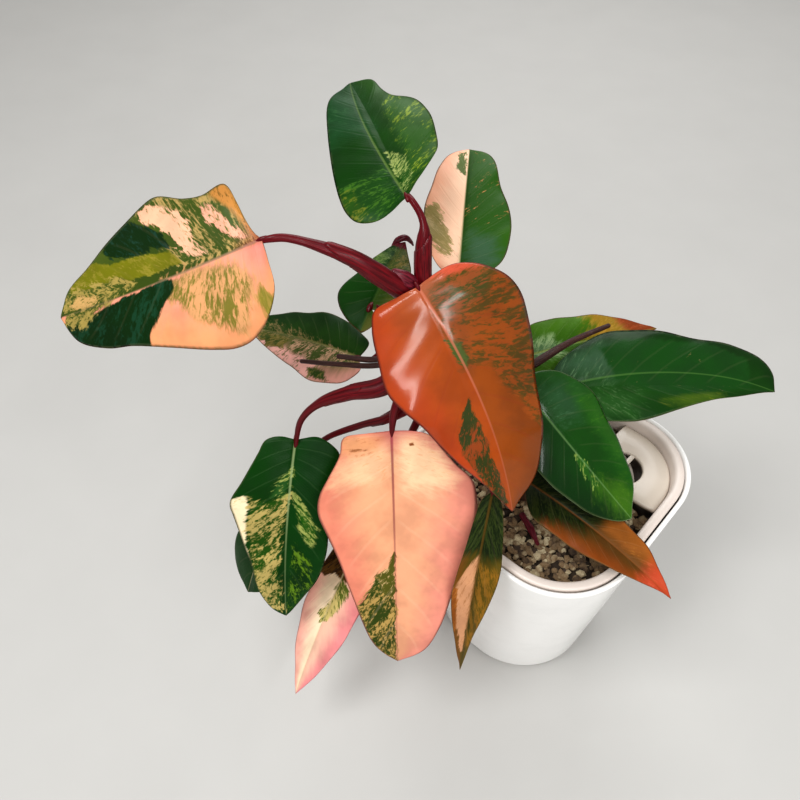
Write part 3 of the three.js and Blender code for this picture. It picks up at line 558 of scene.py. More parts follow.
def spaced_points(points, count):
    """Points at even lengths along the smooth curve through the given ones."""
    dense = [curve_point(points, i / DENSE_STEPS) for i in range(DENSE_STEPS + 1)]
    reach = [0.0]
    for p, q in zip(dense, dense[1:]):
        reach.append(reach[-1] + (q - p).length)
    result = []
    i = 0
    for step in range(count + 1):
        target = reach[-1] * step / count
        while i < DENSE_STEPS - 1 and reach[i + 1] < target:
            i += 1
        span = reach[i + 1] - reach[i]
        result.append(dense[i].lerp(dense[i + 1], (target - reach[i]) / span if span else 0.0))
    return result


def spread_value(values, share):
    """A value from a list spread evenly over 0 to 1, eased between its entries."""
    along = clamp(share) * (len(values) - 1)
    i = min(int(along), len(values) - 2)
    w = along - i
    step = values[i + 1] - values[i]
    return values[i] + step * w * w * (3 - 2 * w) * 0.5 + step * w * 0.5


def rounded_path(points, radius):
    """A path of straight lines with its inner corners rounded off."""
    points = [Vector(p) for p in points]
    path = points[:1]
    for before, corner, after in zip(points, points[1:], points[2:]):
        cut = min(radius, (corner - before).length / 2, (after - corner).length / 2)
        start = corner + (before - corner).normalized() * cut
        end = corner + (after - corner).normalized() * cut
        for step in range(CORNER_STEPS + 1):
            t = step / CORNER_STEPS
            path.append(start * (1 - t) ** 2 + corner * 2 * t * (1 - t) + end * t**2)
    return path + points[-1:]


def clamp(value, low=0.0, high=1.0):
    return min(max(value, low), high)


def smooth(value):
    value = clamp(value)
    return value * value * (3 - 2 * value)


# Meshes.

MERGE_DISTANCE = 1e-7
UV_NAME = "Surface"


def turn_outward(bm):
    bmesh.ops.recalc_face_normals(bm, faces=bm.faces)


def finish_piece(name, bm, nodes, material, flat=False):
    """Make the object of a finished mesh, and tell the frame where it belongs."""
    mesh = bpy.data.meshes.new(name)
    bm.to_mesh(mesh)
    bm.free()
    for polygon in mesh.polygons:
        polygon.use_smooth = not flat
    mesh.materials.append(material)
    piece = bpy.data.objects.new(name, mesh)
    bpy.context.scene.collection.objects.link(piece)
    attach(piece, BODY)
    if nodes:
        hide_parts(*nodes)


def bend_grid(bm, columns, rows, place, extra=()):
    """Add a closed grid bent to a surface; place turns two shares into a point and its extra values."""
    if not bm.loops.layers.uv:
        bm.loops.layers.uv.new(UV_NAME)
    for key in extra:
        bm.verts.layers.float.new(key)
    uv_layer = bm.loops.layers.uv[UV_NAME]
    layers = [bm.verts.layers.float[key] for key in extra]
    made = bmesh.ops.create_grid(bm, x_segments=columns, y_segments=rows, size=0.5)["verts"]
    shares = {v: (v.co.x + 0.5, v.co.y + 0.5) for v in made}
    for face in {face for v in made for face in v.link_faces}:
        for loop in face.loops:
            loop[uv_layer].uv = shares[loop.vert]
    for v, (across, along) in shares.items():
        point, *values = place(across, along)
        v.co = Vector(point) * MM
        for layer, value in zip(layers, values):
            v[layer] = value
    bmesh.ops.remove_doubles(bm, verts=made, dist=MERGE_DISTANCE)


# Blades.

# What each point of a blade knows: its place in the blade's own plane, how far out it lies from the midrib
# (0) to the edge (1), its distances from the midrib and the edge, and whether it is on the underside.
BLADE_MEASURES = ("along", "across", "out", "rib", "inward", "underside")

BLADE_ROWS = 110
BLADE_AROUND = 104

# Half a blade's thickness, the groove over its midrib, and how far the midrib stands out below.
BLADE_HALF = 0.45
RIB_TOP_WIDTH = 1.2
RIB_TOP_DEPTH = 0.55
RIB_UNDER = 1.5

# How the midrib fades out to the tip, over how many millimetres from the notch it starts, what is left of its
# groove at the tip, and its half width below, at the tip and growing from there.
RIB_POWER = 0.7
RIB_START = 8
GROOVE_LEFT = 0.15
RIB_BELOW = 0.5
RIB_BELOW_GROWTH = 1.6

# How far side veins bend towards the tip, as a share of the length, and where the quilting between them
# starts.
VEIN_ARCH = 0.05
QUILT_START = 0.25

# How tightly the columns of a blade's grid gather at its edges, and how sharply the wave of its edge grows.
EDGE_GATHER = 1.25
WAVE_GROWTH = 2.5

# The two waves of a blade's edge: size, pace along it, shift from blade to blade and from half to half.
EDGE_WAVES = [(1.0, 15, 1.7, 2.1), (0.6, 31, 2.9, 0.7)]

# Over what share of a blade its waves fade at its base and at its tip.
WAVE_ENDS = (0.08, 0.06)


def blade_axes(leaf):
    base = Vector(leaf["at"])
    along = Vector(leaf["tip"]) - base
    length = along.length
    along.normalize()
    left = Vector((0, 0, 1)).cross(along).normalized()
    left.rotate(Matrix.Rotation(math.radians(leaf["roll"]), 3, along))
    return base, along, left, along.cross(left), length


def blade_height(form, length, x, y):
    """How far a blade stands off its own plane, x along its midrib and y out from it."""
    share = clamp(x / length, -0.5, 1.2)
    hang = max(0.0, share - 0.7) / 0.3
    arch = form["arch"] * length * (1 - (2 * share - 1) ** 2)
    cross = form["fold"] * abs(y) - form["camber"] * y * y / (BLADE_HALF_WIDTH * length)
    return arch + cross - form["droop"] * length * hang * hang


def outline_distance(outline, x, y):
    """How far a point lies inside a closed outline, and negative outside it."""
    inside = False
    nearest = 1e9
    for (ax, ay), (bx, by) in zip(outline, outline[1:] + outline[:1]):
        if (ay > y) != (by > y) and x < (bx - ax) * (y - ay) / (by - ay) + ax:
            inside = not inside
        dx, dy = bx - ax, by - ay
        t = clamp(((x - ax) * dx + (y - ay) * dy) / (dx * dx + dy * dy))
        nearest = min(nearest, math.hypot(x - ax - t * dx, y - ay - t * dy))
    return nearest if inside else -nearest


def blade_place(leaf, look, seed, wave):
    """The surface of one blade, as a flattened tube from its notch to its tip."""
    base, along, left, up, length = blade_axes(leaf)
    edges = {
        side: spaced_points([Vector((0, 0)), *map(Vector, leaf[side]), Vector((length, 0))], BLADE_ROWS)
        for side in ("left", "right")
    }

    def place(around, station):
        top = around < 0.5
        turn = 1 - 4 * around if top else 4 * around - 3
        k = math.copysign(abs(turn) ** EDGE_GATHER, turn)
        row = round(station * BLADE_ROWS)
        pole = row in (0, BLADE_ROWS)
        edge = edges["left" if k > 0 else "right"][row]
        out = abs(k)
        foot = length * station**VEIN_LEAN
        x = edge.x if pole else foot + (edge.x - foot) * out
        y = 0.0 if pole else edge.y * math.copysign(out, k)
        reach = math.hypot(edge.x - foot, edge.y)
        ends = smooth(station / WAVE_ENDS[0]) * smooth((1 - station) / WAVE_ENDS[1])
        lift = blade_height(leaf["form"], length, x, y)
        swing = sum(
            size * math.sin(station * pace + seed * shift + (apart if k > 0 else 0.0))
            for size, pace, shift, apart in EDGE_WAVES
        )
        lift += wave * out**WAVE_GROWTH * swing * ends
        puff = math.cos((station - VEIN_ARCH * out * out) * look["veins"] * 2 * math.pi)
        lift += look["quilt"] * puff * smooth(out / QUILT_START) * (1 - out**3) * ends
        taper = max(0.0, 1 - x / length) ** RIB_POWER
        share = clamp(x / length)
        rib = y - look["bow"] * 4 * share * (1 - share)
        groove = math.exp(-((rib / RIB_TOP_WIDTH) ** 2))
        ridge = groove * min(1.0, taper + GROOVE_LEFT) * smooth(reach / RIB_START)
        half = 0.0 if pole else BLADE_HALF * math.sqrt(max(0.0, 1 - out**10))
        if top:
            lift += half - RIB_TOP_DEPTH * ridge
        else:
            below = RIB_BELOW + RIB_BELOW_GROWTH * taper
            lift -= half + RIB_UNDER * math.exp(-((rib / below) ** 2)) * taper * ends
        point = base + along * x + left * y + up * lift
        distances = [outline_distance(patch[-1], x, y) for patch in look["patches"]]
        return (point, x, y, out, rib, (1 - out) * reach, 0.0 if top else 1.0, *distances)

    return place


# Stalks.

# The length of a stalk's unevenness, in millimetres.
WOBBLE_LENGTH = 14

# The leaf scars of the stem: how many, their width as a share of the space between them, and their rise.
SCARS = 9
SCAR_WIDTH = 0.12
SCAR_RISE = 0.09

# Where a clasping sheath ends, as shares of its own length: the middle of its slant, the slant, and its step.
SHEATH_END = 0.8
SHEATH_SLANT = 0.16
SHEATH_STEP = 0.03


def stalk_place(points, radii, shape=None, wobble=0.0, seed=0, rows=96, reach=1.0):
    """A tapering stalk with rounded ends; shape changes its radius by share and angle."""
    path = spaced_points([Vector(p) for p in points], round(rows / reach))[: rows + 1]
    length = sum((q - p).length for p, q in zip(path, path[1:]))
    frames = []
    side = None
    for i, p in enumerate(path):
        ahead = (path[min(i + 1, rows)] - path[max(i - 1, 0)]).normalized()
        if side is None:
            side = ahead.orthogonal().normalized()
        side = (side - ahead * side.dot(ahead)).normalized()
        frames.append((p, side, ahead.cross(side)))

    def place(around, along):
        row = along * rows
        i = min(int(row + 1e-6), rows)
        p, side, other = frames[i]
        radius = spread_value(radii, along * reach)
        cap = max(radii[0], 1.0)
        close = min(along * length / cap, (1 - along) * length / max(radii[-1], 1.0), 1.0)
        radius *= math.sqrt(max(0.0, 1 - (1 - close) ** 2))
        angle = around * 2 * math.pi
        if shape:
            radius *= shape(along, angle)
        if wobble:
            place_on = Vector((seed + along * length / WOBBLE_LENGTH, math.cos(angle), math.sin(angle)))
            radius *= 1 + wobble * noise.noise(place_on)
        return (p + side * math.cos(angle) * radius + other * math.sin(angle) * radius,)

    return place, rows


def add_stalk(bm, points, radii, around=28, **form):
    place, rows = stalk_place(points, radii, **form)
    bend_grid(bm, around, rows, place)


def stalk_piece(name, slot, nodes, material, points, radii, **form):
    """Make a piece of a single stalk."""
    bm = bmesh.new()
    add_stalk(bm, points, radii, **form)
    turn_outward(bm)
    finish_piece(name, bm, nodes, material)


def angle_bump(angle, middle, width):
    """1 at one angle round a stalk, falling off on both sides of it."""
    away = (angle - middle + math.pi) % (2 * math.pi) - math.pi
    return math.exp(-((away / width) ** 2))


def leaf_scars(along, angle):
    """The swollen joints of the main stem."""
    place = (along * SCARS + 0.2 * math.sin(angle)) % 1.0 - 0.5
    joint = math.exp(-((place / SCAR_WIDTH) ** 2))
    return 1 + SCAR_RISE * joint + 0.03 * math.cos(3 * angle + along * 8)


def grooved(along, angle):
    """A petiole with a shallow furrow along it."""
    return 1 - 0.12 * angle_bump(angle, 1.6 + math.pi, 0.5) + 0.02 * math.cos(5 * angle)


def flattened(along, angle):
    """A dry sheath, pressed flat."""
    return 1 + 0.3 * math.cos(2 * angle)


def split_side(along, angle):
    """A sheath wraps its petiole on one side, and ends in a slant."""
    facing = math.cos(angle + 0.8)
    slant = smooth((along - SHEATH_END - SHEATH_SLANT * facing) / SHEATH_STEP)
    return (1 + 0.08 * facing) * (1 - 0.4 * slant) - 0.5 * angle_bump(angle, 3.4 + math.pi, 0.25)


# Planter.

# Steps round the pot and over its lip, and the share of a quarter turn that its rounded corner takes.
RING_STEPS = 160
LIP_STEPS = 12
CORNER_SHARE = 0.78


def plan_point(side, corner, share):
    """A point of the pot's rounded-square plan, a share of the way round it."""
    quarter = int(share * 4) % 4
    along = share * 4 - int(share * 4)
    reach = side / 2 - corner
    edge = (1 - CORNER_SHARE) / 2
    if along < edge:
        p = Vector((reach + corner, reach * along / edge))
    elif along > 1 - edge:
        p = Vector((reach * (1 - along) / edge, reach + corner))
    else:
        angle = (along - edge) / CORNER_SHARE * math.pi / 2
        p = Vector((reach + corner * math.cos(angle), reach + corner * math.sin(angle)))
    p.rotate(Matrix.Rotation(quarter * math.pi / 2 + POT_TURN, 2))
    return p


def plan_size(z, inset):
    """The side and the corner's radius of the planter's taper at height z, drawn in by inset."""
    rise = z / POT_HEIGHT
    side = FOOT_SIDE + (RIM_SIDE - FOOT_SIDE) * rise - 2 * inset
    return side, FOOT_CORNER + (RIM_CORNER - FOOT_CORNER) * rise - inset


def pot_point(z, inset, share):
    """A point of the planter's taper at height z, drawn in by inset."""
    side, corner = plan_size(z, inset)
    side = max(side, 0.2)
    corner = min(max(corner, 0.0), side / 2)
    p = plan_point(side, corner, share)
    return Vector((p.x, p.y, z))


def add_shell(bm, profile):
    """A closed wall round the pot's plan, from [height, inset] points; it ends in the middle at both ends."""
    rows = len(profile) - 1

    def place(around, along):
        z, inset = profile[round(along * rows)]
        if inset is None:
            return (Vector((0, 0, z)),)
        return (pot_point(z, inset, around % 1.0),)

    bend_grid(bm, RING_STEPS, rows, place)


def closed_at_middle(path):
    """Close a shell's profile with a point in the middle at its two ends."""
    points = [tuple(p) for p in path]
    return [(points[0][0], None), *points, (points[-1][0], None)]


def flat_direction(angle):
    return Vector((math.cos(angle), math.sin(angle)))


# The middle of the fill hole and of the deck's own round corner, on the pot's diagonal.
HOLE = flat_direction(POT_TURN - math.pi / 4) * FILL_HOLE_AT
DECK_MIDDLE = flat_direction(POT_TURN - math.pi / 4) * DECK_CORNER

# How softly the deck's corner runs into the collar of its hole, and the longest reach that is tried, with the
# number of times that it is halved.
DECK_BLEND = 3
FARTHEST = 140.0
HALVINGS = 30


def inside_liner(point, z, margin):
    """Whether a point of the plan lies inside the liner's wall."""
    flank = clamp((z - RIM_FLANK_FOOT) / (RIM_FLANK_TOP - RIM_FLANK_FOOT))
    inset = LINER_OUT + LINER_WALL + (LINER_RIM - LINER_WALL) * flank + margin
    side, corner = plan_size(z, inset)
    local = point.copy()
    local.rotate(Matrix.Rotation(-POT_TURN, 2))
    reach = side / 2 - corner
    x, y = abs(local.x) - reach, abs(local.y) - reach
    if x > 0 and y > 0:
        return math.hypot(x, y) < corner
    return max(x, y) < corner


def circle_reach(middle, radius, direction):
    """How far a ray from the hole's middle goes before it leaves a circle."""
    along = (middle - HOLE).dot(direction)
    across = (middle - HOLE).length_squared - along * along
    return along + math.sqrt(max(radius * radius - across, 0.0))


def deck_reach(angle, z, margin=CLEAR):
    """How far the deck goes from the hole's middle at an angle, within the liner's wall at height z."""
    direction = flat_direction(angle)
    wide = circle_reach(DECK_MIDDLE, DECK_REACH, direction)
    near = FILL_HOLE_RADIUS + FILL_HOLE_COLLAR
    plan = math.log(math.exp(wide / DECK_BLEND) + math.exp(near / DECK_BLEND)) * DECK_BLEND
    low, high = 0.0, FARTHEST
    for _ in range(HALVINGS):
        middle = (low + high) / 2
        if inside_liner(HOLE + direction * middle, z, margin):
            low = middle
        else:
            high = middle
    return min(plan, low)


def add_ring(bm, profile, inner, outer, columns=220):
    """A closed ring round the fill hole; profile gives [share of the way out, height, mm from there]."""
    rows = len(profile) - 1

    def place(around, along):
        share, z, shift = profile[round(along * rows) % rows]
        angle = (around % 1.0) * 2 * math.pi
        low, high = inner(angle), outer(angle)
        reach = low + (high - low) * share + shift
        return ((HOLE.x + math.cos(angle) * reach, HOLE.y + math.sin(angle) * reach, z),)

    bend_grid(bm, columns, rows, place)


def move_into(bm, heap):
    """Move all of one mesh into another, and free it."""
    mesh = bpy.data.meshes.new("Heap")
    heap.to_mesh(mesh)
    heap.free()
    bm.from_mesh(mesh)
    bpy.data.meshes.remove(mesh)


def well_stone_places(count, seed):
    """Places on the grit, clear of the deck and the liner's wall, and the random draw after them."""
    draw = random.Random(seed)
    places = []
    while len(places) < count:
        p = Vector([draw.uniform(-WELL_REACH, WELL_REACH) for _ in range(2)])
        away = p - HOLE
        reach = deck_reach(math.atan2(away.y, away.x), GRIT_TOP) + STONE_DECK_GAP
        if inside_liner(p, GRIT_TOP, STONE_WALL_GAP) and away.length >= reach:
            places.append(p)
    return places, draw


# Materials.

# How much the fine noise sways a patch's edge against the coarse one, how far both sway it for each step of
# its raggedness, and how soft a fleck's edge is.
FINE_SWAY = 0.6
RAG_REACH = 3.4
FLECK_EDGE = 0.05

# How far noise moves the side veins, how many fine veins go to one of them, and the midrib's half width at
# the base, from which a millimetre goes by the tip.
VEIN_WANDER = 0.12
FINE_VEINS = 7
MIDRIB_HALF = 1.5

# Shares of a blade's length where its midrib's tone is faintest and where it is full, and the least of it.
RIB_FADE = 0.7
RIB_FULL = 0.15
RIB_LEAST = 0.3

# The flare's reach from the blade's base in millimetres, the dark margin's strength, the shift of the noise
# from blade to blade, and the scale of the noise round a stalk.
KNUCKLE = 26.0
MARGIN_STRENGTH = 0.5
SEED_SHIFT = 7.3
RING_SCALE = 2.4


class Nodes:
    """Adds nodes to a node tree and links them."""

    def __init__(self, tree):
        self.tree = tree

    def put(self, socket, value):
        if isinstance(value, bpy.types.NodeSocket):
            self.tree.links.new(value, socket)
        elif socket.type == "RGBA":
            socket.default_value = (*value, 1.0)
        else:
            socket.default_value = value

    def add(self, kind, inputs=None, **settings):
        node = self.tree.nodes.new(kind)
        for key, value in settings.items():
            setattr(node, key, value)
        for key, value in (inputs or {}).items():
            self.put(node.inputs[key], value)
        return node

    def math(self, operation, *values):
        return self.add("ShaderNodeMath", dict(enumerate(values)), operation=operation).outputs[0]

    def times(self, first, second):
        return self.math("MULTIPLY", first, second)

    def plus(self, first, second):
        return self.math("ADD", first, second)

    def minus(self, first, second):
        return self.math("SUBTRACT", first, second)

    def mix(self, factor, first, second):
        node = self.add("ShaderNodeMix", data_type="RGBA")
        self.put(node.inputs[0], factor)
        self.put(node.inputs[6], first)
        self.put(node.inputs[7], second)
        return node.outputs[2]

    def span(self, value, low, high, start=0.0, end=1.0):
        node = self.add("ShaderNodeMapRange", interpolation_type="SMOOTHSTEP")
        for i, v in enumerate((value, low, high, start, end)):
            self.put(node.inputs[i], v)
        return node.outputs[0]

    def combine(self, x, y, z=0.0):
        return self.add("ShaderNodeCombineXYZ", {0: x, 1: y, 2: z}).outputs[0]

    def split(self, vector):
        return self.add("ShaderNodeSeparateXYZ", {0: vector}).outputs

    def noise(self, vector, scale, detail=3.0, roughness=0.55, distortion=0.0):
        inputs = {"Vector": vector, "Scale": scale, "Detail": detail, "Roughness": roughness}
        return self.add("ShaderNodeTexNoise", {**inputs, "Distortion": distortion}).outputs[0]

    def attribute(self, name):
        return self.add("ShaderNodeAttribute", attribute_name=name).outputs["Fac"]

    def fill(self, sockets, **values):
        """Set sockets by their names, with a low line for a space."""
        for key, value in values.items():
            self.put(sockets[key.replace("_", " ")], value)

    def use(self, group, **inputs):
        node = self.add("ShaderNodeGroup", node_tree=group)
        self.fill(node.inputs, **inputs)
        return node.outputs

    def bump(self, shader, height, strength, distance):
        node = self.add("ShaderNodeBump", {"Strength": strength, "Distance": distance, "Height": height})
        self.put(shader["Normal"], node.outputs[0])


def hex_colour(code):
    """A linear colour from six hex digits of a screen colour."""
    parts = [int(code[i : i + 2], 16) / 255 for i in (0, 2, 4)]
    return tuple(p / 12.92 if p <= 0.04045 else ((p + 0.055) / 1.055) ** 2.4 for p in parts)


def node_group(name, inputs, outputs):
    """Turn a function of a group's nodes and inputs, which gives its outputs' values, into one that makes the
    group once and gives it. A socket carries a number unless its kind follows a colon."""

    def wrap(build):
        def give():
            if name in bpy.data.node_groups:
                return bpy.data.node_groups[name]
            tree = bpy.data.node_groups.new(name, "ShaderNodeTree")
            for way, sockets in (("INPUT", inputs), ("OUTPUT", outputs)):
                for label, _, kind in (socket.partition(":") for socket in sockets.split()):
                    socket_type = "NodeSocket" + (kind or "Float")
                    tree.interface.new_socket(label, in_out=way, socket_type=socket_type)
            nodes = Nodes(tree)
            entry = nodes.add("NodeGroupInput").outputs
            nodes.fill(nodes.add("NodeGroupOutput").inputs, **build(nodes, entry))
            return tree

        return give

    return wrap


@node_group("Leaf Streaks", "UV:Vector Plane:Vector Seed", "Streak Fine Cloud")
def leaf_streaks(n, entry):
    """Noise drawn out along a leaf's side veins, coarse and fine, and broad clouds."""
    across, along, _ = n.split(entry["UV"])

    def drawn_out(along_scale, across_scale, *settings):
        place = n.combine(n.times(along, along_scale), n.times(across, across_scale), entry["Seed"])
        return n.noise(place, 1.0, *settings)

    shift = n.combine(entry["Seed"], entry["Seed"], entry["Seed"])
    shifted = n.add("ShaderNodeVectorMath", {0: entry["Plane"], 1: shift}, operation="ADD").outputs[0]
    return dict(
        Streak=drawn_out(24.0, 6.0, 4.0, 0.6, 0.3), Fine=drawn_out(84.0, 36.0, 5.0, 0.65, 0.6),
        Cloud=n.noise(shifted, 0.045, 3.0),
    )


@node_group(
    "Leaf Patch", "Under:Color Tone:Color Fleck:Color Inside Streak Fine Rag Soft Flecks", "Color:Color"
)
def leaf_patch(n, entry):
    """A flecked patch with a ragged edge, laid over the colour beneath."""
    streak, fine, soft = entry["Streak"], entry["Fine"], entry["Soft"]
    sway = n.plus(n.minus(streak, 0.5), n.times(n.minus(fine, 0.5), FINE_SWAY))
    edge = n.plus(entry["Inside"], n.times(sway, n.times(entry["Rag"], RAG_REACH)))
    mask = n.span(edge, n.times(soft, -1.0), soft)
    level = n.minus(0.7, n.times(entry["Flecks"], 0.4))
    grain = n.plus(n.times(fine, 0.55), n.times(streak, 0.45))
    spots = n.span(grain, n.minus(level, FLECK_EDGE), n.plus(level, FLECK_EDGE))
    return dict(Color=n.mix(mask, entry["Under"], n.mix(spots, entry["Tone"], entry["Fleck"])))


@node_group("Leaf Veins", "UV:Vector Out Rib Along Veins Streak", "Side Midrib Height")
def leaf_veins(n, entry):
    """Side veins and midrib of a leaf as masks, and the height they give its surface."""
    out = entry["Out"]
    station = n.minus(n.split(entry["UV"])[1], n.times(n.times(out, out), VEIN_ARCH))
    count = n.plus(n.times(station, entry["Veins"]), n.times(entry["Streak"], VEIN_WANDER))
    wave = n.math("COSINE", n.times(count, 2 * math.pi))
    fade = n.times(n.span(out, 0.02, 0.12), n.span(out, 0.97, 0.7))
    side = n.times(n.span(wave, 0.9, 0.995), fade)
    fine = n.math("COSINE", n.times(count, 2 * math.pi * FINE_VEINS))
    half_width = n.minus(MIDRIB_HALF, entry["Along"])
    small = n.times(n.times(fine, 0.025), fade)
    return dict(
        Side=side, Midrib=n.span(n.math("ABSOLUTE", entry["Rib"]), half_width, 0.3),
        Height=n.plus(n.times(wave, 0.22), n.minus(small, n.times(side, 0.3))),
    )


@node_group("Stalk Streaks", "UV:Vector Place:Vector", "Line Blotch")
def stalk_streaks(n, entry):
    """Lengthwise lines and blotches on a stalk, from its own surface coordinates."""
    around, along, _ = n.split(entry["UV"])
    turn = n.times(around, 2 * math.pi)
    sides = [n.times(n.math(part, turn), RING_SCALE) for part in ("COSINE", "SINE")]
    ring = n.combine(*sides, n.times(along, 2.0))
    return dict(Line=n.noise(ring, 2.2, 4.0, 0.6), Blotch=n.noise(entry["Place"], 70.0, 4.0))


@node_group("Plastic Wear", "Place:Vector", "Dust Marks Height")
def plastic_wear(n, entry):
    """Faint dust and handling marks on a smooth moulded surface."""
    place = entry["Place"]
    return dict(
        Dust=n.span(n.noise(place, 22.0, 6.0, 0.65), 0.45, 0.75), Marks=n.noise(place, 9.0, 3.0),
        Height=n.noise(place, 260.0, 2.0),
    )


@node_group("Stone Grain", "Place:Vector", "Tint Grain")
def stone_grain(n, entry):
    """Mottling and pits of small stones."""
    return dict(Tint=n.noise(entry["Place"], 150.0, 2.0), Grain=n.noise(entry["Place"], 1100.0, 5.0, 0.7))


def start_material(name):
    material = bpy.data.materials.new(name)
    material.use_nodes = True
    tree = material.node_tree
    tree.nodes.clear()
    nodes = Nodes(tree)
    shader = nodes.add("ShaderNodeBsdfPrincipled")
    output = nodes.add("ShaderNodeOutputMaterial")
    tree.links.new(shader.outputs[0], output.inputs[0])
    coords = nodes.add("ShaderNodeTexCoord").outputs
    return material, nodes, shader.inputs, coords


def surface_uv(n):
    return n.add("ShaderNodeUVMap", uv_map=UV_NAME).outputs[0]


def leaf_material(name, look, seed):
    """A blade's colours: two toned halves, patches over them, painted shade, veins, a thin margin and a dull
    underside.
    """
    tone = {key: hex_colour(look[key]) for key in ("vein", "rib", "flare", "margin", "under")}
    length = look["length"]
    material, n, shader, _ = start_material(name)
    uv = surface_uv(n)
    along, across, far, rib, inward, under = map(n.attribute, BLADE_MEASURES)
    seed_shift = float(seed * SEED_SHIFT)
    streaks = n.use(leaf_streaks(), UV=uv, Plane=n.combine(along, across), Seed=seed_shift)
    streak, fine, cloud = streaks["Streak"], streaks["Fine"], streaks["Cloud"]
    veins = n.use(
        leaf_veins(), UV=uv, Out=far, Rib=rib, Veins=float(look["veins"]), Streak=streak,
        Along=n.math("DIVIDE", along, length),
    )
    out = n.plus(far, n.times(n.minus(streak, 0.5), 0.5))
    left, right = (n.mix(n.span(out, 0.25, 0.95), *map(hex_colour, look[side])) for side in ("left", "right"))
    colour = n.mix(n.span(rib, -0.5, 0.5), right, left)
    for i, (ground, fleck, share, rag, soft, _) in enumerate(look["patches"]):
        colour = n.use(
            leaf_patch(), Under=colour, Tone=hex_colour(ground), Fleck=hex_colour(fleck),
            Inside=n.attribute(f"patch_{i}"), Streak=streak, Fine=fine, Rag=rag, Soft=soft, Flecks=share,
        )["Color"]
    midrib = n.span(along, length * RIB_FADE, length * RIB_FULL, RIB_LEAST, look["rib_strength"])
    knuckle = n.span(n.plus(along, n.math("ABSOLUTE", across)), KNUCKLE, 0.0)
    coats = [
        # Painted shade: broad clouds of noise darken the blade towards black.
        (n.times(n.span(cloud, 0.35, 0.7), look["shade"]), (0.0, 0.0, 0.0)),
        (n.times(veins["Side"], look["vein_strength"]), tone["vein"]),
        (n.times(veins["Midrib"], midrib), tone["rib"]),
        (n.times(knuckle, look["flare_strength"]), tone["flare"]),
        (n.times(n.span(inward, 0.9, 0.3), MARGIN_STRENGTH), tone["margin"]),
    ]
    for strength, paint in coats:
        colour = n.mix(strength, colour, paint)
    gloss = look["roughness"]
    n.fill(
        shader, Base_Color=n.mix(under, colour, n.mix(0.45, colour, tone["under"])),
        Roughness=n.plus(n.times(under, 0.2), n.span(cloud, 0.3, 0.7, gloss - 0.06, gloss + 0.1)),
        Specular_IOR_Level=look["shine"], Coat_Weight=look["coat"], Coat_Roughness=0.13,
    )
    n.bump(shader, n.plus(veins["Height"], n.times(fine, 0.25)), look["relief"], 0.0006)
    return material


def stalk_start(name):
    """A stalk's material so far, with the marks for its lines and blotches."""
    material, n, shader, coords = start_material(name)
    return material, n, shader, n.use(stalk_streaks(), UV=surface_uv(n), Place=coords["Object"])


def petiole_material(name, dark, light, painted_sheen):
    """Lengthwise streaked stalk, turning towards a paler painted sheen in blotches and where it is seen at a
    slant.
    """
    material, n, shader, marks = stalk_start(name)
    colour = n.mix(n.span(marks["Line"], 0.35, 0.7), dark, light)
    # Painted sheen: blotches of the paler sheen colour stand for highlights.
    colour = n.mix(n.times(n.span(marks["Blotch"], 0.5, 0.75), 0.2), colour, painted_sheen)
    # Painted sheen: more of the sheen colour where the stalk is seen at a slant.
    facing = n.add("ShaderNodeLayerWeight", {"Blend": 0.3}).outputs["Facing"]
    n.fill(
        shader, Base_Color=n.mix(n.times(facing, 0.1), colour, painted_sheen),
        Roughness=n.span(marks["Line"], 0.3, 0.7, 0.3, 0.48), Specular_IOR_Level=0.18, Coat_Weight=0.16,
        Coat_Roughness=0.2,
    )
    n.bump(shader, marks["Line"], 0.15, 0.0006)
    return material


def bark_material(name, dark, light, roughness=0.7):
    """Rough, lengthwise lined bark."""
    material, n, shader, marks = stalk_start(name)
    n.fill(
        shader, Base_Color=n.mix(n.span(marks["Line"], 0.3, 0.7), dark, light),
        Roughness=n.span(marks["Blotch"], 0.3, 0.7, roughness - 0.1, roughness + 0.1),
    )
    n.bump(shader, marks["Line"], 0.7, 0.0012)
    return material


def plastic_material(name, tone, roughness, coat):
    """Moulded plastic with a little dust on it."""
    material, n, shader, coords = start_material(name)
    wear = n.use(plastic_wear(), Place=coords["Object"])
    n.fill(
        shader, Base_Color=n.mix(n.times(wear["Dust"], 0.35), tone, [part * 0.85 for part in tone]),
        Roughness=n.span(wear["Marks"], 0.3, 0.7, roughness, roughness + 0.12), Coat_Weight=coat,
        Coat_Roughness=0.08,
    )
    n.bump(shader, wear["Height"], 0.05, 0.0004)
    return material


def stone_material(name, deep, middle, pale):
    """Stones, each with a shade of its own from the tint attribute."""
    material, n, shader, coords = start_material(name)
    marks = n.use(stone_grain(), Place=coords["Object"])
    grain = marks["Grain"]
    tint = n.plus(n.attribute("tint"), n.times(n.minus(marks["Tint"], 0.5), 0.8))
    colour = n.mix(n.span(tint, 0.0, 0.45), deep, middle)
    colour = n.mix(n.span(tint, 0.55, 1.05), colour, pale)
    colour = n.mix(n.times(n.span(grain, 0.4, 0.7), 0.35), colour, deep)
    n.fill(shader, Base_Color=colour, Roughness=n.span(grain, 0.3, 0.7, 0.75, 0.95))
    n.bump(shader, grain, 0.6, 0.0006)
    return material


def floor_material(tone):
    """A pale, matt studio floor."""
    material, n, shader, coords = start_material("Stage")
    wear = n.use(plastic_wear(), Place=coords["Object"])
    n.fill(shader, Base_Color=n.mix(wear["Marks"], [part * 0.93 for part in tone], tone), Roughness=0.75)
    return material


# Settings that a user would change.


def colour_property(name, description, code):
    return bpy.props.FloatVectorProperty(
        name=name, description=description, default=hex_colour(code), size=3, min=0, max=1, subtype="COLOR"
    )


def length_property(name, description, default, least, most):
    return bpy.props.FloatProperty(
        name=name, description=description, default=default, min=least, max=most,
        subtype="DISTANCE", unit="LENGTH",
    )


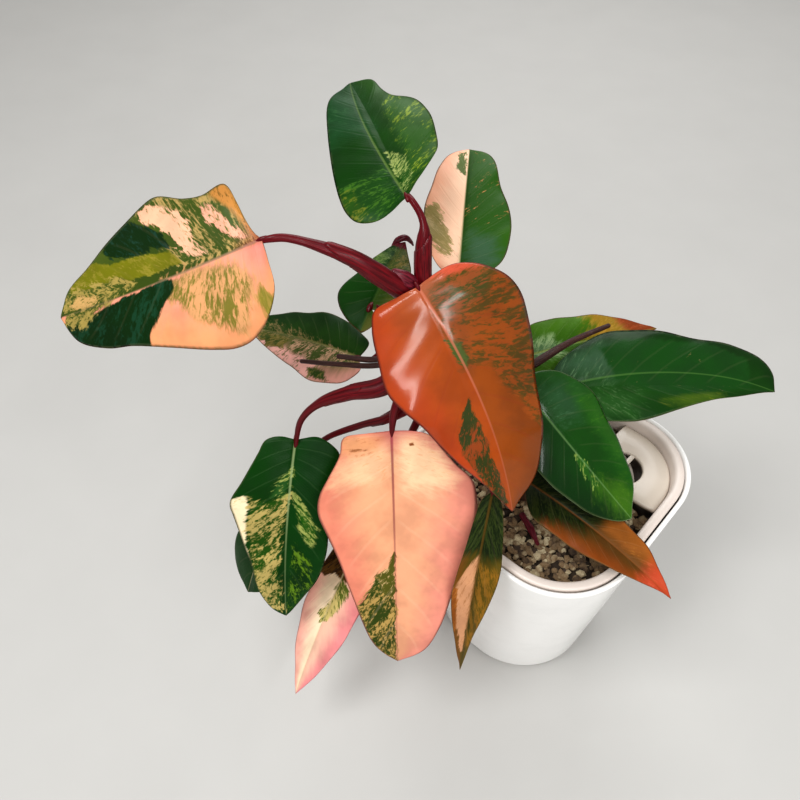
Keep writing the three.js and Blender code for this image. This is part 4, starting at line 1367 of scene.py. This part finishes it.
class PlanterLook(bpy.types.PropertyGroup):
    pot: colour_property("Pot", "Colour of the outer pot", "f8f7f5")
    liner: colour_property("Liner", "Colour of the inner pot and its broad rim", "dfd3ca")
    deck: colour_property("Deck", "Colour of the plate round the fill hole", "d4c8ba")
    gloss: bpy.props.FloatProperty(
        name="Gloss", description="How strong the clear shine on the outer pot is", default=0.4, min=0, max=1,
        subtype="FACTOR",
    )


class GritLook(bpy.types.PropertyGroup):
    count: bpy.props.IntProperty(
        name="Stones", description="Number of loose stones on the grit", default=1900, min=0, max=4000
    )
    size: length_property("Stone Size", "Mean width of a stone", 0.0068, 0.002, 0.02)
    dark: colour_property("Dark", "Colour of the darkest stones", "44352a")
    middle: colour_property("Middle", "Colour of most stones", "866f52")
    pale: colour_property("Pale", "Colour of the palest stones", "cdbf9e")


class PlantLook(bpy.types.PropertyGroup):
    wave: length_property("Edge Wave", "How far the blades' edges wave out of their plane", 0.001, 0, 0.004)
    stalk_dark: colour_property("Stalk Shade", "Darker colour of the petioles", "46060e")
    stalk_light: colour_property("Stalk Light", "Lighter colour of the petioles", "700a16")
    bark_dark: colour_property("Bark Shade", "Darker colour of the main stem", "2c1a12")
    bark_light: colour_property("Bark Light", "Lighter colour of the main stem", "5c4030")


class StageLook(bpy.types.PropertyGroup):
    floor: colour_property("Floor", "Colour of the floor", "c4c3c0")
    sky: bpy.props.FloatProperty(
        name="Room Light", description="Strength of the light from all round", default=0.42, min=0, max=4
    )
    lamps: bpy.props.FloatProperty(
        name="Lamp Share", description="Scales the power of all the lamps", default=1.0, min=0, max=8
    )


# Operators.


class PHILODENDRON_OT_outer_pot(bpy.types.Operator):
    """Build the white outer pot"""

    bl_idname = "philodendron.outer_pot"
    bl_label = "Outer Pot"

    def execute(self, context):
        look = context.scene.philodendron_planter
        lip = POT_WALL / 2
        foot = [
            (0, FOOT_EDGE + 8), (0, FOOT_EDGE), (FOOT_EDGE * 0.3, FOOT_EDGE * 0.3), (FOOT_EDGE, 0),
            (POT_HEIGHT * 0.3, 0), (POT_HEIGHT * 0.6, 0), (POT_HEIGHT - lip * 2, 0),
        ]
        path = [tuple(p) for p in rounded_path(foot, 5)]
        for step in range(1, LIP_STEPS):
            angle = math.pi * step / LIP_STEPS
            path.append((POT_HEIGHT - lip + lip * math.sin(angle), lip - lip * math.cos(angle)))
        path += [
            (POT_HEIGHT - lip * 2, POT_WALL), (POT_HEIGHT * 0.5, POT_WALL), (POT_FLOOR + 8, POT_WALL),
            (POT_FLOOR, POT_WALL + 8),
        ]
        bm = bmesh.new()
        add_shell(bm, closed_at_middle(path))
        turn_outward(bm)
        material = plastic_material("Pot Plastic", look.pot, 0.12, look.gloss)
        finish_piece("pot_shell", bm, ["outer_pot"], material)
        return {"FINISHED"}


class PHILODENDRON_OT_liner(bpy.types.Operator):
    """Build the inner pot with its broad rolled rim"""

    bl_idname = "philodendron.liner"
    bl_label = "Liner"

    def execute(self, context):
        look = context.scene.philodendron_planter
        top = POT_HEIGHT + LINER_RISE
        foot, floor = LINER_FOOT, LINER_FOOT + LINER_FLOOR
        path = [
            (foot, LINER_OUT + LINER_FLOOR + 6), (foot, LINER_OUT + LINER_FLOOR), (floor, POT_WALL + CLEAR),
            (foot + LINER_SEAT, POT_WALL + CLEAR), (foot + LINER_SEAT + LINER_FLOOR, LINER_OUT),
            (top, LINER_OUT), (top, LINER_IN), (RIM_FLANK_TOP, LINER_IN),
            (RIM_FLANK_FOOT, LINER_OUT + LINER_WALL), (floor, LINER_OUT + LINER_WALL),
            (floor, LINER_OUT + LINER_WALL + 8),
        ]
        bm = bmesh.new()
        add_shell(bm, closed_at_middle([tuple(p) for p in rounded_path(path, 3.2)]))
        turn_outward(bm)
        material = plastic_material("Liner Plastic", look.liner, 0.3, 0.1)
        finish_piece("liner_shell", bm, ["liner"], material)
        return {"FINISHED"}


class PHILODENDRON_OT_fill_deck(bpy.types.Operator):
    """Build the plate with the fill hole, its bridge, and the wall of the shaft below it"""

    bl_idname = "philodendron.fill_deck"
    bl_label = "Fill Deck"

    def execute(self, context):
        look = context.scene.philodendron_planter
        low = DECK_TOP - DECK_PLATE
        profile = [
            (0, low, 0), (0, DECK_TOP - 1.4, 0), (0, DECK_TOP - 0.4, 0.4), (0, DECK_TOP, 1.4),
            (0.5, DECK_TOP, 0), (1, DECK_TOP, -1.8), (1, DECK_TOP - 0.5, -0.5), (1, DECK_TOP - 1.8, 0),
            (1, low, 0), (0.5, low, 0), (0, low, 0),
        ]
        bm = bmesh.new()
        middle = low + DECK_PLATE / 2
        add_ring(bm, profile, lambda angle: FILL_HOLE_RADIUS, lambda angle: deck_reach(angle, middle))
        place = Matrix.Translation(Vector((HOLE.x, HOLE.y, middle)) * MM)
        turn = place @ Matrix.Rotation(BRIDGE_TURN, 4, "Z")
        sizes = (2 * FILL_HOLE_RADIUS + 1, BRIDGE_WIDTH, DECK_PLATE / 2)
        grow = Matrix.Diagonal((*(Vector(sizes) * MM), 1.0))
        bar = bmesh.ops.create_cube(bm, size=1.0, matrix=turn @ grow)["verts"]
        edges = list({edge for v in bar for edge in v.link_edges})
        bmesh.ops.bevel(bm, geom=edges, offset=0.5 * MM, segments=2, profile=0.5, affect="EDGES", material=-1)
        turn_outward(bm)
        material = plastic_material("Deck Plastic", look.deck, 0.24, 0.2)
        finish_piece("deck_plate", bm, ["fill_deck"], material)
        low, high = LINER_FOOT + LINER_FLOOR + CLEAR, DECK_TOP - DECK_PLATE - CLEAR
        profile = [(0, low, 0), (0, high, 0), (1, high, 0), (1, low, 0), (0, low, 0)]
        bm = bmesh.new()

        def wall(angle):
            return deck_reach(angle, low, margin=1.0)

        add_ring(bm, profile, lambda angle: wall(angle) - SHAFT_WALL, wall, columns=120)
        turn_outward(bm)
        # Painted shade: the shaft's wall is the deck's plastic darkened to 55 per cent, as it stands in shade
        # below the deck.
        material = plastic_material("Shaft Plastic Painted Shade", [part * 0.55 for part in look.deck], 0.4, 0.1)
        finish_piece("shaft_wall", bm, ["fill_shaft"], material)
        return {"FINISHED"}


class PHILODENDRON_OT_grit(bpy.types.Operator):
    """Strew loose angular stones over the bed of grit"""

    bl_idname = "philodendron.grit"
    bl_label = "Grit"

    def execute(self, context):
        look = context.scene.philodendron_grit
        bm = bmesh.new()
        places, draw = well_stone_places(look.count, STONE_SEED)
        for start in range(0, len(places), STONE_BATCH):
            heap = bmesh.new()
            tint = heap.verts.layers.float.new("tint")
            for p in places[start : start + STONE_BATCH]:
                size = look.size / 2 * draw.uniform(*STONE_SPREAD)
                sizes = [size * draw.uniform(*width) for width in STONE_WIDTHS]
                spin = Matrix.Rotation(draw.uniform(*STONE_TURN), 4, "Z")
                spin = spin @ Matrix.Rotation(draw.uniform(*STONE_TILT), 4, "X")
                middle = Vector((p.x, p.y, GRIT_TOP + draw.uniform(*STONE_RISE))) * MM
                turn = Matrix.Translation(middle) @ spin @ Matrix.Diagonal((*sizes, 1.0))
                shade = draw.random()
                for v in bmesh.ops.create_icosphere(heap, subdivisions=1, radius=1.0, matrix=turn)["verts"]:
                    v.co += (v.co - middle) * draw.uniform(*STONE_DENT)
                    v[tint] = shade
            move_into(bm, heap)
        # The bed shows only in the gaps between the stones, and its dark colours are painted shade.
        bed = bpy.data.objects["substrate"]
        bed.data.materials.clear()
        bed.data.materials.append(stone_material("Grit Bed Painted Shade", *map(hex_colour, GRIT_BED_SHADE)))
        material = stone_material("Grit", look.dark, look.middle, look.pale)
        finish_piece("grit_stones", bm, [], material, flat=True)
        return {"FINISHED"}


class PHILODENDRON_OT_stem(bpy.types.Operator):
    """Build the main stem with its leaf scars"""

    bl_idname = "philodendron.stem"
    bl_label = "Stem"

    def execute(self, context):
        look = context.scene.philodendron_plant
        material = bark_material("Stem Bark", look.bark_dark, look.bark_light)
        stalk_piece(
            "main_stem", "stem", ["stem"], material, STEM_POINTS, STEM_RADII, around=40, shape=leaf_scars,
            wobble=0.08, seed=3,
        )
        return {"FINISHED"}


class PHILODENDRON_OT_petioles(bpy.types.Operator):
    """Build each leaf's petiole, with the clasping sheath that some have"""

    bl_idname = "philodendron.petioles"
    bl_label = "Petioles"

    def execute(self, context):
        look = context.scene.philodendron_plant
        material = petiole_material("Petiole", look.stalk_dark, look.stalk_light, hex_colour(STALK_PAINTED_SHEEN))
        for seed, (name, leaf) in enumerate(LEAVES.items()):
            base, along, _, up, length = blade_axes(leaf)
            drop = BLADE_HALF + CLEAR + PETIOLE_TIP
            under = base + along * PETIOLE_UNDER
            under += up * (blade_height(leaf["form"], length, PETIOLE_UNDER, 0) - drop)
            bm = bmesh.new()
            radii = [*leaf["radii"], PETIOLE_TIP]
            add_stalk(bm, [*leaf["petiole"], tuple(under)], radii, shape=grooved, wobble=0.05, seed=seed)
            foot = base + up * blade_height(leaf["form"], length, 0, 0)
            collar = [foot - along * 4 - up * 1.4, foot - up * 0.3, foot + along * 5 - up * 0.2]
            add_stalk(bm, collar, COLLARS.get(name, COLLAR), around=16, rows=16)
            if name in SHEATH_REACH:
                radii = [radius + SHEATH_OVER for radius in leaf["radii"]]
                add_stalk(
                    bm, leaf["petiole"], radii, reach=SHEATH_REACH[name], shape=split_side, wobble=0.08,
                    seed=seed + 30,
                )
            turn_outward(bm)
            finish_piece("stalk_" + name, bm, ["petiole_" + name], material)
        return {"FINISHED"}


class PHILODENDRON_OT_stubs(bpy.types.Operator):
    """Build the dry stubs of petioles that were cut short"""

    bl_idname = "philodendron.stubs"
    bl_label = "Petiole Stubs"

    def execute(self, context):
        material = bark_material("Dry Stub", *map(hex_colour, DRY_STUB), 0.5)
        for seed, (name, (points, radii)) in enumerate(STUBS.items()):
            stalk_piece("dry_" + name, "stub", [name], material, points, radii, wobble=0.14, seed=seed + 40)
        return {"FINISHED"}


class PHILODENDRON_OT_sheaths(bpy.types.Operator):
    """Build the dry sheaths, and the small back leaf's rolled-up end"""

    bl_idname = "philodendron.sheaths"
    bl_label = "Dry Sheaths"

    def execute(self, context):
        material = petiole_material("Dry Sheath", *map(hex_colour, DRY_SHEATH))
        for seed, (name, (points, radii)) in enumerate(SHEATHS.items()):
            stalk_piece(
                "dry_" + name, "cataphyll", [name], material, points, radii, shape=flattened, wobble=0.2,
                seed=seed + 60,
            )
        stalk_piece(
            "dry_leaf_tip", "blade_04_back_small", [], material, CURL_POINTS, CURL_RADII, wobble=0.2, seed=90
        )
        return {"FINISHED"}


class PHILODENDRON_OT_blades(bpy.types.Operator):
    """Build the blades, each with its own colours"""

    bl_idname = "philodendron.blades"
    bl_label = "Blades"

    def execute(self, context):
        wave = context.scene.philodendron_plant.wave / MM
        for seed, (name, leaf) in enumerate(LEAVES.items()):
            look = dict(COMMON_LOOK, **LOOKS[name], length=blade_axes(leaf)[4])
            measures = [*BLADE_MEASURES, *(f"patch_{i}" for i in range(len(look["patches"])))]
            bm = bmesh.new()
            place = blade_place(leaf, look, seed, wave * look["wave"])
            bend_grid(bm, BLADE_AROUND, BLADE_ROWS, place, extra=measures)
            turn_outward(bm)
            material = leaf_material("Blade " + name, look, seed)
            finish_piece("leaf_" + name, bm, ["blade_" + name], material)
        return {"FINISHED"}


class PHILODENDRON_OT_stage(bpy.types.Operator):
    """Build the floor, the lamps and the camera"""

    bl_idname = "philodendron.stage"
    bl_label = "Stage"

    def execute(self, context):
        look = context.scene.philodendron_stage
        link = context.scene.collection.objects.link
        bm = bmesh.new()
        bmesh.ops.create_grid(bm, x_segments=8, y_segments=8, size=FLOOR_REACH)
        mesh = bpy.data.meshes.new("Floor")
        bm.to_mesh(mesh)
        bm.free()
        mesh.materials.append(floor_material(look.floor))
        floor = bpy.data.objects.new("Floor", mesh)
        link(floor)
        for name, place, long_side, sizes, power, mirrored in LAMPS:
            light = bpy.data.lights.new(name, "AREA")
            light.shape = "RECTANGLE"
            light.size, light.size_y = sizes
            light.energy = power * look.lamps
            back = (Vector(place) - LAMP_AIM).normalized()
            side = Vector(long_side)
            side = (side - back * side.dot(back)).normalized()
            lamp = bpy.data.objects.new(name, light)
            turn = Matrix((side, back.cross(side), back)).transposed().to_4x4()
            lamp.matrix_world = Matrix.Translation(place) @ turn
            lamp.visible_glossy = mirrored
            link(lamp)
        world = bpy.data.worlds.new("Studio")
        world.use_nodes = True
        background = world.node_tree.nodes["Background"].inputs
        background["Color"].default_value = ROOM_TINT
        background["Strength"].default_value = look.sky
        context.scene.world = world
        camera = bpy.data.objects.new("Camera", bpy.data.cameras.new("Camera"))
        camera.data.lens = camera.data.sensor_width = CAMERA_LENS
        camera.location = CAMERA_PLACE
        camera.rotation_euler = (CAMERA_TILT, 0, 0)
        link(camera)
        context.scene.camera = camera
        context.scene.view_settings.view_transform = "Standard"
        context.scene.view_settings.look = "Medium High Contrast"
        return {"FINISHED"}


OPERATORS = [
    PHILODENDRON_OT_outer_pot,
    PHILODENDRON_OT_liner,
    PHILODENDRON_OT_fill_deck,
    PHILODENDRON_OT_grit,
    PHILODENDRON_OT_stem,
    PHILODENDRON_OT_petioles,
    PHILODENDRON_OT_stubs,
    PHILODENDRON_OT_sheaths,
    PHILODENDRON_OT_blades,
    PHILODENDRON_OT_stage,
]

LOOK_GROUPS = {
    "philodendron_planter": PlanterLook,
    "philodendron_grit": GritLook,
    "philodendron_plant": PlantLook,
    "philodendron_stage": StageLook,
}


class PHILODENDRON_PT_build(bpy.types.Panel):
    """Lists the pieces and their settings"""

    bl_label = "Philodendron"
    bl_idname = "PHILODENDRON_PT_build"
    bl_space_type = "VIEW_3D"
    bl_region_type = "UI"
    bl_category = "Philodendron"

    def draw(self, context):
        for key, group in LOOK_GROUPS.items():
            box = self.layout.box()
            for field in group.__annotations__:
                box.prop(getattr(context.scene, key), field)
        for operator in OPERATORS:
            self.layout.operator(operator.bl_idname)


def register():
    for cls in (*LOOK_GROUPS.values(), *OPERATORS, PHILODENDRON_PT_build):
        bpy.utils.register_class(cls)
    for key, group in LOOK_GROUPS.items():
        setattr(bpy.types.Scene, key, bpy.props.PointerProperty(type=group))


def unregister():
    for key in LOOK_GROUPS:
        delattr(bpy.types.Scene, key)
    for cls in (PHILODENDRON_PT_build, *reversed(OPERATORS), *LOOK_GROUPS.values()):
        bpy.utils.unregister_class(cls)


def main():
    register()
    for operator in OPERATORS:
        getattr(bpy.ops.philodendron, operator.bl_idname.split(".")[1])()


if __name__ == "__main__":
    main()
